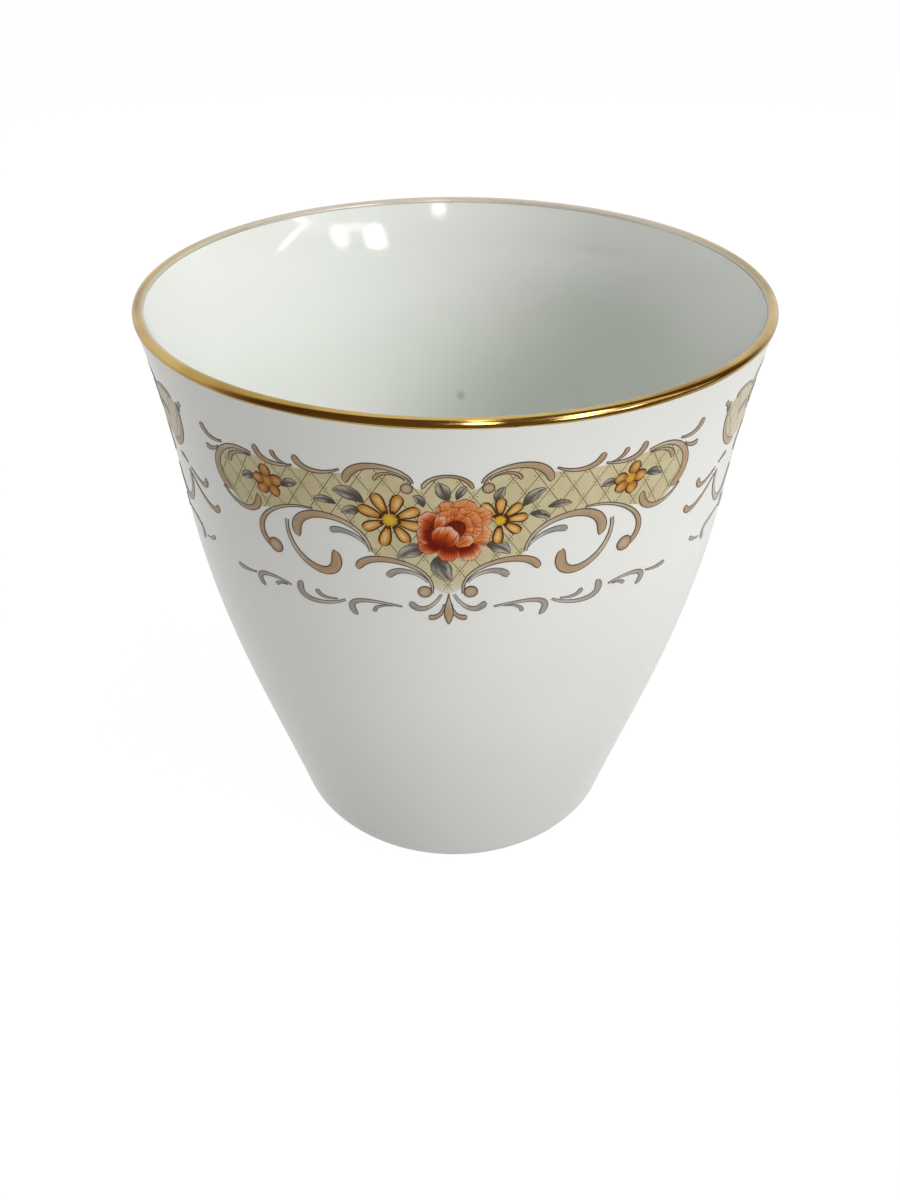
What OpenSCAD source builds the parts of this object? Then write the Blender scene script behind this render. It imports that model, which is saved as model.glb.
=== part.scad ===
// Porcelain tea cup without a handle. The fired body carries three coats of glaze,
// a gilt line on the lip and four panels of overglaze enamel round the upper wall.
// Z is up, the origin is the middle of the foot on the table, and -Y is the front.

/* [Cup] */
// Outside diameter of the lip
rim_d = 78; // [74:1:84]
// Height from the table to the top of the lip
cup_h = 84; // [80:1:90]
// Diameter at the swell of the wall, where the panels begin
swell_d = 73.5; // [71:0.5:76]
// Height of the swell
swell_z = 58.4; // [56:0.2:60]
// Diameter at the heel, where the wall turns under
heel_d = 52.8; // [50:0.2:56]
// Height of the heel
heel_z = 4.2; // [4:0.1:5]

/* [Wall] */
// Thickness of the lip
lip_t = 1.2; // [1:0.1:1.6]
// Thickness of the wall where the bowl begins
low_wall_t = 2.8; // [2.4:0.1:3.4]
// Depth over which the wall thins towards the lip
lip_run = 12; // [8:1:16]
// Height of the floor inside
floor_z = 7; // [6:0.5:9]
// Height where the straight wall turns into the bowl
bowl_z = 22; // [18:1:26]

/* [Foot] */
// Outside diameter of the foot ring
foot_d = 45; // [43:0.5:46]
// Width of the flat that stands on the table
foot_flat = 1.6; // [1.2:0.1:2]
// Depth of the hollow under the base
recess_h = 2.9; // [2.4:0.1:3.2]
// Height of the bare clay that the glaze leaves on the foot
bare_foot = 0.9; // [0.8:0.1:1.2]

/* [Coats] */
// Thickness of the glaze
glaze_t = 0.25; // [0.2:0.05:0.3]
// Thickness of the gilding
gilt_t = 0.08; // [0.06:0.01:0.12]
// Width of the gilding below the lip's round, outside
gilt_out = 0.15; // [0.1:0.05:0.6]
// Width of the gilding below the lip's round, inside
gilt_in = 0.1; // [0.1:0.05:0.5]
// Thickness of the enamel
enamel_t = 0.12; // [0.1:0.01:0.2]

/* [Panels] */
// Height of the panels' base line below the lip
panel_drop = 22; // [21:0.5:25]
// Slope of the front panel off level, in degrees
front_lean = 1.3; // [0:0.1:2]
// Height of the right panel above the base line, and of the left panel below it
side_rise = 0.4; // [0:0.1:0.6]
// Flat radius of the rose
rose_r = 3.9; // [3.6:0.1:4.2]

/* [Hidden] */
$fn = 96;

biscuit = "#e9e4da";
glaze = "#eef0ee";
gold = "#b8862f";
cream = "#cbbf95";
taupe = "#a58d7b";
orange = "#d9683a";
ochre = "#d29a4d";
grey = "#6f6b6b";

// Turn of each panel about the cup's axis
front = 0;
right = 90;
back = 180;
left = -90;

// Slopes of the wall, outward for each step up, at the heel, the swell and the lip
heel_slope = 0.22;
swell_slope = 0.048;
lip_slope = 0.186;

lip_r = lip_t / 2;
lip_lean = atan(lip_slope);
lip_mid = [rim_d / 2 - lip_r, cup_h - lip_r];
wall_top = lip_mid + lip_r * [cos(lip_lean), -sin(lip_lean)];
wall_steps = 14;
arc_steps = 12;
coat_steps = 7;
panel_z = cup_h - panel_drop;
panel_h = 19;
panel_hang = 5;
design_r = 37.6; // radius at which the panels' widths are drawn

// Curve helpers
function bez(p, t) =
    pow(1 - t, 3) * p[0] + 3 * pow(1 - t, 2) * t * p[1]
    + 3 * (1 - t) * t * t * p[2] + pow(t, 3) * p[3];
function heading(p, t) =
    pow(1 - t, 2) * (p[1] - p[0]) + 2 * (1 - t) * t * (p[2] - p[1])
    + t * t * (p[3] - p[2]);
function left_of(d) = [-d[1], d[0]] / norm(d);
function beside(p, t, d) = bez(p, t) + d * left_of(heading(p, t));
function along(p, d, n) = [for (i = [0:n]) beside(p, i / n, d)];
function reversed(list) = [for (i = [len(list) - 1:-1:0]) list[i]];

// A wall curve between two heights, with its slope given at both ends
function wall_curve(low, low_slope, high, high_slope) =
    let (step = (high[1] - low[1]) / 3)
    [low, low + step * [low_slope, 1], high - step * [high_slope, 1], high];

heel = [heel_d / 2, heel_z];
swell = [swell_d / 2, swell_z];
lower_wall = wall_curve(heel, heel_slope, swell, swell_slope);
upper_wall = wall_curve(swell, swell_slope, wall_top, lip_slope);

// The outside of the wall at a height, and a point at a depth under it
function wall_part(z) = z > swell_z ? upper_wall : lower_wall;
function wall_share(z) =
    let (p = wall_part(z)) (z - p[0][1]) / (p[3][1] - p[0][1]);
function wall_at(z, depth) = beside(wall_part(z), wall_share(z), depth);
function wall_run(low, high, depth, n) =
    [for (i = [0:n]) wall_at(low + (high - low) * i / n, depth)];
function outside_wall(depth) = concat(
    wall_run(heel_z, swell_z, depth, wall_steps),
    [for (i = [1:wall_steps]) beside(upper_wall, i / wall_steps, depth)]
);

// The inside of the wall, which thins to the lip over its upper part
function thinned(z) = 1 - exp((z - wall_top[1]) / lip_run);
function wall_t(z) = lip_t + (low_wall_t - lip_t) * thinned(z) / thinned(bowl_z);
function inside_wall(depth) = concat(
    [for (i = [wall_steps - 1:-1:1])
        let (z = swell_z + (wall_top[1] - swell_z) * i / wall_steps)
        wall_at(z, wall_t(z) - depth)],
    [for (i = [wall_steps:-1:0])
        let (z = bowl_z + (swell_z - bowl_z) * i / wall_steps)
        wall_at(z, wall_t(z) - depth)]
);
bowl_top = wall_at(bowl_z, low_wall_t);
bowl = [
    bowl_top, bowl_top - [2.4, 9], [15, floor_z], [0, floor_z]
];
function bowl_floor(depth) = [for (i = [1:arc_steps]) beside(bowl, i / arc_steps, depth)];

// The lip's round, from the outside over the top
function lip_arc(depth, from, to) =
    [for (i = [0:arc_steps])
        let (a = from + (to - from) * i / arc_steps)
        lip_mid + (lip_r - depth) * [cos(a), sin(a)]];
lip_out = -lip_lean;
lip_in = 180 - lip_lean;

// The turn under the wall and the outside of the foot
foot_r = foot_d / 2;
foot_side = [[foot_r, bare_foot], [foot_r + 0.2, 2.6], [foot_r + 0.6, 3], [foot_r + 1.4, 3]];
heel_turn = [
    [foot_r + 1.4, 3], [foot_r + 2.6, 3], heel - 0.55 * heel_z * [heel_slope, 0.5], heel
];
function under_wall(depth) = concat(
    along(foot_side, depth, 5),
    [for (i = [1:5]) beside(heel_turn, i / 6, depth)]
);

// The hollow under the base, from its middle to the foot's inner side
flat_out = foot_r - 0.5;
flat_in = flat_out - foot_flat;
recess = [
    [0, recess_h + 0.3], [12, recess_h + 0.3], [flat_in - 1.6, recess_h], [flat_in - 0.5, bare_foot]
];
function base_hollow(depth) = along(recess, depth, 10);

function biscuit_outline() = concat(
    base_hollow(glaze_t),
    [[flat_in - 0.5, bare_foot], [flat_in - 0.3, 0.25], [flat_in, 0]],
    [[flat_out, 0], [flat_out + 0.35, 0.25], [foot_r, bare_foot]],
    under_wall(glaze_t),
    outside_wall(glaze_t),
    lip_arc(glaze_t, lip_out, lip_in),
    inside_wall(glaze_t),
    bowl_floor(glaze_t)
);

// A coat between two runs of points
function coat(face, back) = concat(face, reversed(back));

module porcelain_body() color(biscuit) rotate_extrude() polygon(biscuit_outline());

module outer_glaze() color(glaze) rotate_extrude() polygon(coat(
    concat(under_wall(0), outside_wall(0), lip_arc(0, lip_out, 90)),
    concat(under_wall(glaze_t), outside_wall(glaze_t), lip_arc(glaze_t, lip_out, 90))
));

module inner_glaze() color(glaze) rotate_extrude() polygon(coat(
    concat(lip_arc(0, 90, lip_in), inside_wall(0), bowl_floor(0)),
    concat(lip_arc(glaze_t, 90, lip_in), inside_wall(glaze_t), bowl_floor(glaze_t))
));

module base_glaze() color(glaze) rotate_extrude() polygon(coat(
    base_hollow(0), base_hollow(glaze_t)
));

function gilt_edge(depth) = concat(
    wall_run(wall_top[1] - gilt_out, wall_top[1], depth, 1),
    lip_arc(depth, lip_out, lip_in),
    [let (z = wall_top[1] - gilt_in) wall_at(z, wall_t(z) - depth)]
);

module gilt_rim() color(gold) rotate_extrude() polygon(coat(gilt_edge(-gilt_t), gilt_edge(0)));

// Brush marks of the panels. A mark is a curve [start, two handles, end] in millimetres across
// the wall and above the base line, with its greatest width. A comma swells towards a round end,
// a flame towards its middle, and a band a little towards both ends.
comma = function(t) (0.28 + 0.72 * pow(t, 1.2)) * sqrt(1 - pow(t, 12));
flame = function(t) 0.1 + 0.9 * pow(sin(180 * pow(t, 1.5)), 0.9);
band = function(t) (0.65 + 0.35 * pow(2 * t - 1, 2)) * sqrt(1.02 - pow(2 * t - 1, 12));
leaf = function(t) 0.08 + 0.92 * pow(sin(180 * t), 0.8);
petal = function(t) (0.25 + 0.75 * sin(90 * t)) * sqrt(1 - pow(t, 6));
round_petal = function(t) 0.1 + 0.9 * sqrt(1 - pow(2 * t - 1, 2));
mark_steps = 8;
$side = 1; // -1 where a mark is mirrored
$slope = 0; // rise of a panel for each step across it
$rise = 0; // height of a panel above the base line

function mark_side(p, w, form, side) =
    [for (i = [0:mark_steps]) beside(p, i / mark_steps, side * w / 2 * form(i / mark_steps))];
function mark_outline(p, w, form) = concat(
    mark_side(p, w, form, 1),
    [for (i = [mark_steps - 1:-1:0])
        beside(p, i / mark_steps, -w / 2 * form(i / mark_steps))]
);
function on_wall(p) =
    let (z = panel_z + $rise + p[1], x = $side * wall_at(z, 0)[0] * sin(p[0] / design_r * 180 / PI))
    [x, z + $slope * x];
function ray(middle, a, from, to) =
    [for (s = [0, 1 / 3, 2 / 3, 1]) middle + (from + (to - from) * s) * [cos(a), sin(a)]];

module shape(points) polygon([for (p = points) on_wall(p)]);
module mark(m, form) shape(mark_outline([m[0], m[1], m[2], m[3]], m[4], form));
module marks(list, form) for (m = list) mark(m, form);
module dot(middle, r) shape([for (a = [0:30:330]) middle + r * [cos(a), sin(a)]]);
module dots(list) for (d = list) dot(d[0], d[1]);
module both_sides() for ($side = [1, -1]) children();
module flower(middle, turns, from, to, w, form) {
    for (a = turns) shape(mark_outline(ray(middle, a, from, to), w, form));
    dot(middle, from - 0.2);
}

// The enamel is a thin coat on the wall, cut to the drawn shapes
module enamel_coat() rotate_extrude() polygon(coat(
    wall_run(panel_z - panel_hang, panel_z + panel_h, -enamel_t, coat_steps),
    wall_run(panel_z - panel_hang, panel_z + panel_h, 0, coat_steps)
));
module enamel(turn) {
    $slope = turn == front ? tan(front_lean) : 0;
    $rise = side_rise * sin(turn);
    rotate(turn) intersection() {
        enamel_coat();
        rotate([90, 0, 0]) linear_extrude(rim_d) children();
    }
}

// Marks of the front and back panels, right half
main_scrolls = [
    [[3.4, 14.8], [3.6, 16.7], [9.7, 18], [10.3, 14.2], 1.15],
    [[4.1, 15.2], [4.9, 16.1], [7, 16.2], [7.2, 14.9], 0.6],
    [[10.7, 15.8], [12.6, 14.7], [15.4, 14.8], [15.6, 16.6], 1],
    [[16.6, 15.1], [17.3, 15.2], [18.3, 15.6], [18.2, 16.5], 0.75],
    [[16, 15.2], [18, 14.7], [20.4, 14.5], [20.5, 16.6], 1],
    [[21.2, 15.2], [25.9, 16.6], [29.7, 11.1], [25.8, 9.1], 1.45],
    [[21.4, 14.9], [23.2, 15.1], [24.8, 14.4], [24.9, 13.1], 0.8],
    [[25.6, 15.3], [27, 14.9], [28.6, 15.1], [28.7, 16.6], 1],
    [[26.5, 14.4], [27.3, 13.7], [28.1, 13.5], [28.9, 13.7], 0.85],
    [[27.3, 9.2], [25.8, 6.9], [21.7, 6.8], [21.5, 10.1], 1.1],
    [[14.4, 10.2], [19.4, 10.5], [24.5, 5.7], [20.6, 3.2], 1],
    [[8.2, 5.8], [8.7, 11], [17.9, 10.9], [16.8, 5.9], 1.45],
    [[18, 7.9], [19.2, 2.3], [11.3, -0.4], [12.4, 5.3], 1.55],
    [[1.7, 0.7], [0.9, 5.2], [9.3, 6.3], [9.9, 3.2], 1.15],
    [[0.4, -0.8], [0.5, -2.2], [1.2, -2.9], [2.2, -2.7], 0.9]
];
main_arch = [[-2.5, 14.2], [-1.9, 16.3], [1.9, 16.3], [2.5, 14.2], 0.6];
main_stem = [[0.1, 0.7], [0.1, -0.8], [0.1, -2.1], [0.1, -3.7], 1.1];
main_knobs = [[[4, 14.2], 0.65], [[20.3, 3.7], 1], [[2.5, 0.9], 0.8]];
main_garland = [
    [[5.1, -1.4], [8.2, -0.9], [12.6, -0.6], [10.5, -3.5], 0.95],
    [[6.2, -1.4], [7.2, -1.4], [8.5, -1.7], [8.3, -2.6], 0.6],
    [[11.8, -1.5], [13.8, -2.9], [18.9, -3.6], [17.4, -0.3], 1.1],
    [[12.8, -1.6], [13.8, -1.9], [15.3, -1.9], [15.4, -0.9], 0.75],
    [[19, -1.5], [21.6, -0.8], [25.6, -1.2], [23.4, -3.4], 1],
    [[19.6, -1.7], [20.3, -1.6], [21, -1.8], [21.4, -2.3], 0.6],
    [[24.6, -1.8], [25.6, -2.1], [26.6, -2.3], [28.1, -2.1], 0.75]
];
main_commas = [
    [[8.4, 6.3], [9.2, 7.7], [11.4, 8.6], [12.7, 7.8], 0.95],
    [[2.1, 2.2], [3.2, 3.8], [5.8, 4.2], [6.5, 2.6], 1],
    [[0.7, 0.6], [1.3, -1], [3.2, -2.6], [4.2, -0.6], 0.95]
];
main_ground = [
    [[0, 15.7], [1, 15.7], [2, 15.1], [2.5, 14.2]],
    [[2.5, 14.2], [2.8, 14], [3.3, 14.2], [3.6, 14.9]],
    [[3.6, 14.9], [3.9, 16.6], [9.3, 17.8], [10.3, 15.4]],
    [[10.3, 15.4], [13, 14.8], [18, 14.8], [21.2, 15.1]],
    [[21.2, 15.1], [25.8, 16.4], [29.5, 11.1], [26, 9.2]],
    [[26, 9.2], [25, 7], [22.2, 7], [21.4, 8.5]],
    [[21.4, 8.5], [20.6, 8.6], [19.4, 9.2], [17.4, 9.9]],
    [[17.4, 9.9], [16, 10.3], [14.6, 10.2], [13.2, 9.9]],
    [[13.2, 9.9], [11.4, 9.9], [9.2, 8.8], [8.2, 5.9]],
    [[8.2, 5.9], [7.9, 5.3], [7.4, 5.1], [6.8, 5.1]],
    [[6.8, 5.1], [4.6, 4.9], [1.6, 4], [1.5, 1.6]],
    [[1.5, 1.6], [1.2, 1.1], [0.6, 0.8], [0, 0.7]]
];
rose_mid = [0.7, 9.1];
rose_lobes = 7;
daisy_left = [-5.9, 10.2];
daisy_right = [5.3, 10.1];
blossom_left = [-19.7, 12.3];
blossom_right = [19.4, 12.4];
main_leaves = [
    [[-8.5, 12], [-9.4, 13.1], [-10.6, 13.3], [-11.8, 13.1], 1.7],
    [[-8.9, 10.9], [-9.5, 11.2], [-10.3, 10.9], [-11.1, 10.4], 1.2],
    [[-11.6, 11.4], [-12.4, 11.9], [-13.3, 11.9], [-14.1, 11.5], 1],
    [[-2.4, 12], [-2.5, 12.8], [-2.9, 13.2], [-3.4, 13.3], 1],
    [[0.1, 12.8], [-0.3, 13.6], [-0.6, 14.3], [-0.8, 15], 1.5],
    [[0.9, 12.9], [1.1, 13.6], [1.5, 14.2], [1.9, 14.5], 0.9],
    [[-2.2, 6.5], [-3, 6.8], [-4.3, 6.4], [-5.3, 5.3], 1.8],
    [[-1, 5.8], [-1.1, 4.8], [-0.5, 3.4], [0.4, 2.5], 2.2],
    [[4, 7], [4.8, 7.2], [5.8, 6.7], [6.6, 5.7], 1.6],
    [[7.6, 11.6], [8.1, 12.5], [8.9, 13.2], [9.8, 13.5], 1.35],
    [[10.2, 11.1], [11, 11.4], [12, 11.4], [12.8, 11.1], 0.95],
    [[8.4, 10.5], [9.1, 10.6], [9.9, 10.3], [10.6, 9.7], 1],
    [[4.9, 12.4], [4.9, 13], [5.2, 13.7], [5.6, 14.2], 1.1],
    [[17.8, 12.4], [17.2, 12.7], [16.6, 12.7], [15.9, 12.3], 1.05],
    [[21.4, 12.3], [22.2, 12.6], [23, 12.2], [23.9, 11.6], 1.1],
    [[-17.9, 12.2], [-17.2, 12.8], [-16.5, 13.1], [-15.8, 13], 1.1],
    [[-21.3, 12.3], [-22, 12.5], [-22.8, 12.2], [-23.5, 11.7], 1.1]
];

// Marks of the two side panels, right half
side_scrolls = [
    [[0.3, 16.9], [3, 17.8], [6.4, 17.4], [8.4, 15.4], 1.2],
    [[9.4, 15.9], [12, 17.8], [16.4, 17.4], [18, 15.8], 1.1],
    [[18.4, 16.4], [20, 17.3], [22.4, 17.4], [23.6, 16.6], 0.8],
    [[24.9, 16.6], [24.9, 13.2], [23.4, 10.2], [19.5, 9.7], 1.15],
    [[25.3, 15.6], [25.4, 16.3], [25.6, 16.7], [26.2, 16.9], 0.7],
    [[23.4, 7.6], [24.8, 7], [27.2, 5.6], [27.6, 8], 0.9],
    [[23.2, 6.7], [24.8, 4.6], [28.6, 2.7], [29.1, 5], 1],
    [[22.7, 7.9], [22.2, 8.2], [21.6, 8.4], [20.7, 8.4], 0.7],
    [[22.7, 7], [22.6, 1.6], [15.8, -1.6], [15.6, 4.6], 1.6],
    [[9.4, 6.6], [9.8, 10.6], [17.4, 10.2], [15.9, 6.4], 1.3],
    [[1, 2], [1.4, 6.2], [9, 8], [9.6, 4.2], 1.4]
];
side_knobs = [[[2.1, 1.2], 0.8]];
side_garland = [
    [[1, -1.2], [3.6, -0.4], [8.4, 0], [7.8, -2.8], 1],
    [[8.8, -1.3], [11.6, -2.8], [16.2, -3], [15.2, 0], 1.1],
    [[16.6, -1.2], [19.2, -0.9], [23.8, -0.9], [21.2, -3.5], 1],
    [[23.2, -2.2], [24.2, -2.1], [25.2, -1.7], [25.9, -1], 0.7]
];
side_ground = [
    [[0, 16.6], [3, 17.2], [6, 16.8], [8.6, 15.5]],
    [[8.6, 15.5], [12, 17.2], [18, 16.8], [22, 16.6]],
    [[22, 16.6], [23.6, 16.6], [24.4, 16.4], [24.7, 15.6]],
    [[24.7, 15.6], [24.6, 12.8], [23.3, 10.6], [20.4, 10]],
    [[20.4, 10], [17, 9.9], [11, 11], [8.2, 7.2]],
    [[8.2, 7.2], [5.4, 6.6], [1.6, 5], [0, 2.2]]
];
side_daisy = [0, 11.4];
side_bud = [6.6, 11.4];
side_blossom = [15.6, 13.9];
side_leaves = [
    [[3.4, 13.6], [4, 14.2], [4.8, 14.6], [5.8, 14.6], 1.1],
    [[9, 12.2], [10, 12.9], [11, 13.2], [12.2, 13], 1.2],
    [[8.8, 10], [9.8, 10], [10.6, 10.3], [11.4, 10.9], 0.9],
    [[2.2, 7.6], [2.8, 6.9], [3.6, 6.5], [4.6, 6.6], 1.1],
    [[17.8, 13.9], [18.8, 14.2], [19.8, 14], [20.8, 13.5], 0.9]
];

even_petals = [20:40:340];
bud_petals = [36:72:324];
fan_petals = [18:72:306];

function half_edge(list) = [for (p = list) for (i = [0:4]) bez(p, i / 5)];
function whole_edge(list) =
    let (half = half_edge(list))
    concat(half, [for (i = [len(half) - 1:-1:1]) [-half[i][0], half[i][1]]]);

module scroll_marks(list, knobs) {
    both_sides() {
        marks(list, comma);
        dots(knobs);
    }
}
module main_scroll_marks() {
    scroll_marks(main_scrolls, main_knobs);
    mark(main_arch, band);
    mark(main_stem, flame);
}
module rose_mark() shape([
    for (a = [0:10:350])
        rose_mid + rose_r * (1 - 0.07 * pow(sin(a * rose_lobes / 2), 2)) * [cos(a), sin(a)]
]);
module daisy_marks() {
    flower(daisy_left, [116, 68, 26, -13, -58, -104, -153, 158], 0.95, 3.4, 1.5, petal);
    flower(daisy_right, [130, 88, 42, 5, -40, -93], 0.8, 2.85, 1.35, petal);
}
module blossom_marks() {
    flower(blossom_left, [95, 13, -50, -125, 175], 0.6, 2, 1.45, round_petal);
    flower(blossom_right, [75, 165, 222, -70, -3], 0.6, 2, 1.45, round_petal);
}
module leaf_marks() {
    marks(main_leaves, leaf);
    both_sides() marks(main_commas, comma);
}
module side_flower_marks() {
    flower(side_daisy, even_petals, 1, 3.5, 1.5, petal);
    both_sides() {
        flower(side_bud, bud_petals, 0.8, 2.4, 1.6, petal);
        flower(side_blossom, fan_petals, 0.7, 1.8, 1.2, petal);
    }
}
module side_leaf_marks() both_sides() marks(side_leaves, leaf);

module main_trellis(turn) color(cream) enamel(turn) difference() {
    shape(whole_edge(main_ground));
    main_scroll_marks();
    rose_mark();
    daisy_marks();
    blossom_marks();
    leaf_marks();
}
module main_scrollwork(turn) color(taupe) enamel(turn) main_scroll_marks();
module main_rose(turn) color(orange) enamel(turn) rose_mark();
module main_daisies(turn) color(ochre) enamel(turn) difference() {
    daisy_marks();
    rose_mark();
}
module main_blossoms(turn) color(orange) enamel(turn) blossom_marks();
module main_leafwork(turn) color(grey) enamel(turn) difference() {
    leaf_marks();
    rose_mark();
    daisy_marks();
    main_scroll_marks();
}
module main_swags(turn) color(taupe) enamel(turn) both_sides() marks(main_garland, comma);

module side_trellis(turn) color(cream) enamel(turn) difference() {
    shape(whole_edge(side_ground));
    scroll_marks(side_scrolls, side_knobs);
    side_flower_marks();
    side_leaf_marks();
}
module side_scrollwork(turn) color(taupe) enamel(turn) scroll_marks(side_scrolls, side_knobs);
module side_flowers(turn) color(ochre) enamel(turn) side_flower_marks();
module side_leafwork(turn) color(grey) enamel(turn) difference() {
    side_leaf_marks();
    side_flower_marks();
    scroll_marks(side_scrolls, side_knobs);
}
module side_swags(turn) color(taupe) enamel(turn) both_sides() marks(side_garland, comma);

porcelain_body();
inner_glaze();
outer_glaze();
base_glaze();
gilt_rim();
main_trellis(front);  // front_trellis
main_scrollwork(front);  // front_scrolls
main_rose(front);  // front_rose
main_daisies(front);  // front_daisies
main_blossoms(front);  // front_blossoms
main_leafwork(front);  // front_leaves
main_swags(front);  // front_garland
main_trellis(back);  // back_trellis
main_scrollwork(back);  // back_scrolls
main_rose(back);  // back_rose
main_daisies(back);  // back_daisies
main_blossoms(back);  // back_blossoms
main_leafwork(back);  // back_leaves
main_swags(back);  // back_garland
side_trellis(left);  // left_trellis
side_scrollwork(left);  // left_scrolls
side_flowers(left);  // left_flowers
side_leafwork(left);  // left_leaves
side_swags(left);  // left_garland
side_trellis(right);  // right_trellis
side_scrollwork(right);  // right_scrolls
side_flowers(right);  // right_flowers
side_leafwork(right);  // right_leaves
side_swags(right);  // right_garland
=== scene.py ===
import math
import bmesh
import bpy
import numpy as np
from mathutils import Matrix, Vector


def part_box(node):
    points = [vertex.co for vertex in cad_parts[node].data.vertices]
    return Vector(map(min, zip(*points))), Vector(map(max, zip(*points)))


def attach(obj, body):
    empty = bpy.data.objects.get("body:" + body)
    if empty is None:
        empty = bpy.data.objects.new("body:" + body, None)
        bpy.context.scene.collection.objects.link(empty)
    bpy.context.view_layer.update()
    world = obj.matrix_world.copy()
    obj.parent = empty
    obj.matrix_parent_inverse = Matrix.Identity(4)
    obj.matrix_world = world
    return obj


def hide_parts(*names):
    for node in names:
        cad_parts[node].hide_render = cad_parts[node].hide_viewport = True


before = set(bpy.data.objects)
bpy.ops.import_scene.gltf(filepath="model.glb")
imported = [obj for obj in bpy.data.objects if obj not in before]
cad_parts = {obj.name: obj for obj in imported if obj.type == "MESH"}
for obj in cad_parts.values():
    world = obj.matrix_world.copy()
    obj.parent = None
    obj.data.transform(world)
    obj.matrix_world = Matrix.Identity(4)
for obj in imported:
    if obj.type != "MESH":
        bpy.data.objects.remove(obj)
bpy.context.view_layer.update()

mm = 0.001
print("frame loaded:", len(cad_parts), "nodes")


# small helpers

def ink(red, green, blue):
    # a colour as it would be matched on screen, 0 to 255, turned into linear light
    c = np.array([red, green, blue], float) / 255
    return np.where(c <= 0.04045, c / 12.92, ((c + 0.055) / 1.055) ** 2.4)


def mixed(a, b, share):
    share = np.asarray(share, float)[..., None]
    return np.asarray(a) * (1 - share) + np.asarray(b) * share


def smooth(x, low, high):
    t = np.clip((np.asarray(x, float) - low) / (high - low), 0, 1)
    return t * t * (3 - 2 * t)


def bez(p, t):
    p = np.asarray(p, float)
    t = np.asarray(t, float)[:, None]
    return (1 - t) ** 3 * p[0] + 3 * (1 - t) ** 2 * t * p[1] + 3 * (1 - t) * t * t * p[2] + t ** 3 * p[3]


def leftOf(p, t):
    p = np.asarray(p, float)
    t = np.asarray(t, float)[:, None]
    h = (1 - t) ** 2 * (p[1] - p[0]) + 2 * (1 - t) * t * (p[2] - p[1]) + t * t * (p[3] - p[2])
    h = h / np.maximum(np.linalg.norm(h, axis=1), 1e-9)[:, None]
    return np.stack([-h[:, 1], h[:, 0]], 1)


def beside(p, t, depth):
    return bez(p, t) + leftOf(p, t) * np.reshape(depth, (-1, 1))


def headingOf(turn):
    # the way of a turn in degrees, and the way to its left
    a = math.radians(turn)
    return np.array([math.cos(a), math.sin(a)]), np.array([-math.sin(a), math.cos(a)])


def linkObject(name, data):
    made = bpy.data.objects.new(name, data)
    bpy.context.scene.collection.objects.link(made)
    return made


# the cup's form, in mm, with its reach taken from the frame

cupForm = {
    "swell": (36.75, 58.4),     # radius and height where the panels begin
    "heel": (26.4, 4.2),        # radius and height where the wall turns under
    "heelSlope": 0.22,
    "swellSlope": 0.048,
    "lipSlope": 0.186,
    "lipT": 1.2,
    "lowWallT": 2.8,
    "lipRun": 12.0,             # depth over which the wall thins to the lip
    "floorZ": 7.0,
    "bowlZ": 22.0,
    "footR": 22.5,
    "footFlat": 1.6,
    "footRound": 0.5,           # width of the foot ring's rounded edges
    "footSeat": (1.4, 3.0),     # how far out and how high the foot's side meets the wall
    "recessH": 2.9,
    "recessRise": 0.3,          # how much higher the hollow is in the middle
    "bareFoot": 0.9,
    "glazeT": 0.25,
    "glazeThin": 0.75,          # share by which the glaze thins at its edges
    "turns": 224,               # steps round the cup
}
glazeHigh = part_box("outer_glaze")[1]
rimR = glazeHigh.x / mm
cupH = glazeHigh.z / mm


def wallCurve(low, lowSlope, high, highSlope):
    low, high = np.array(low), np.array(high)
    step = (high[1] - low[1]) / 3
    return [low, low + step * np.array([lowSlope, 1]), high - step * np.array([highSlope, 1]), high]


lipR = cupForm["lipT"] / 2
lipLean = math.atan(cupForm["lipSlope"])
lipMid = np.array([rimR - lipR, cupH - lipR])
wallTop = lipMid + lipR * np.array([math.cos(lipLean), -math.sin(lipLean)])
swellZ = cupForm["swell"][1]
heelZ = cupForm["heel"][1]
lowerWall = wallCurve(cupForm["heel"], cupForm["heelSlope"], cupForm["swell"], cupForm["swellSlope"])
upperWall = wallCurve(cupForm["swell"], cupForm["swellSlope"], wallTop, cupForm["lipSlope"])


def wallAt(z, depth):
    # radius and height of points at a depth under the outside of the wall
    z = np.atleast_1d(np.asarray(z, float))
    depth = np.broadcast_to(np.asarray(depth, float), z.shape)
    low = beside(lowerWall, (z - heelZ) / (swellZ - heelZ), depth)
    high = beside(upperWall, (z - swellZ) / (wallTop[1] - swellZ), depth)
    return np.where((z <= swellZ)[:, None], low, high)


def wallT(z):
    run = cupForm["lipRun"]
    share = 1 - np.exp((np.asarray(z, float) - wallTop[1]) / run)
    share = share / (1 - math.exp((cupForm["bowlZ"] - wallTop[1]) / run))
    return cupForm["lipT"] + (cupForm["lowWallT"] - cupForm["lipT"]) * share


def outsideRun(depth):
    return wallAt(np.linspace(heelZ, wallTop[1], 60), depth)


def lipRun(depth, start, end, steps=14):
    a = np.radians(np.linspace(start, end, steps + 1))
    return lipMid + (lipR - depth) * np.stack([np.cos(a), np.sin(a)], 1)


def insideRun(depth):
    z = np.linspace(wallTop[1], cupForm["bowlZ"], 56)[1:]
    return wallAt(z, wallT(z) - depth)


def bowlRun(depth):
    top = wallAt(cupForm["bowlZ"], cupForm["lowWallT"])[0]
    floorZ = cupForm["floorZ"]
    bowl = [top, top - np.array([2.4, 9]), np.array([15, floorZ]), np.array([0, floorZ])]
    return beside(bowl, np.linspace(0, 1, 30)[1:], depth)


def edgeDepth(depth, share):
    # the face of a coat sinks where the glaze thins out, and its back stays
    return depth + (cupForm["glazeT"] * cupForm["glazeThin"] if depth == 0 else 0) * share


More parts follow.
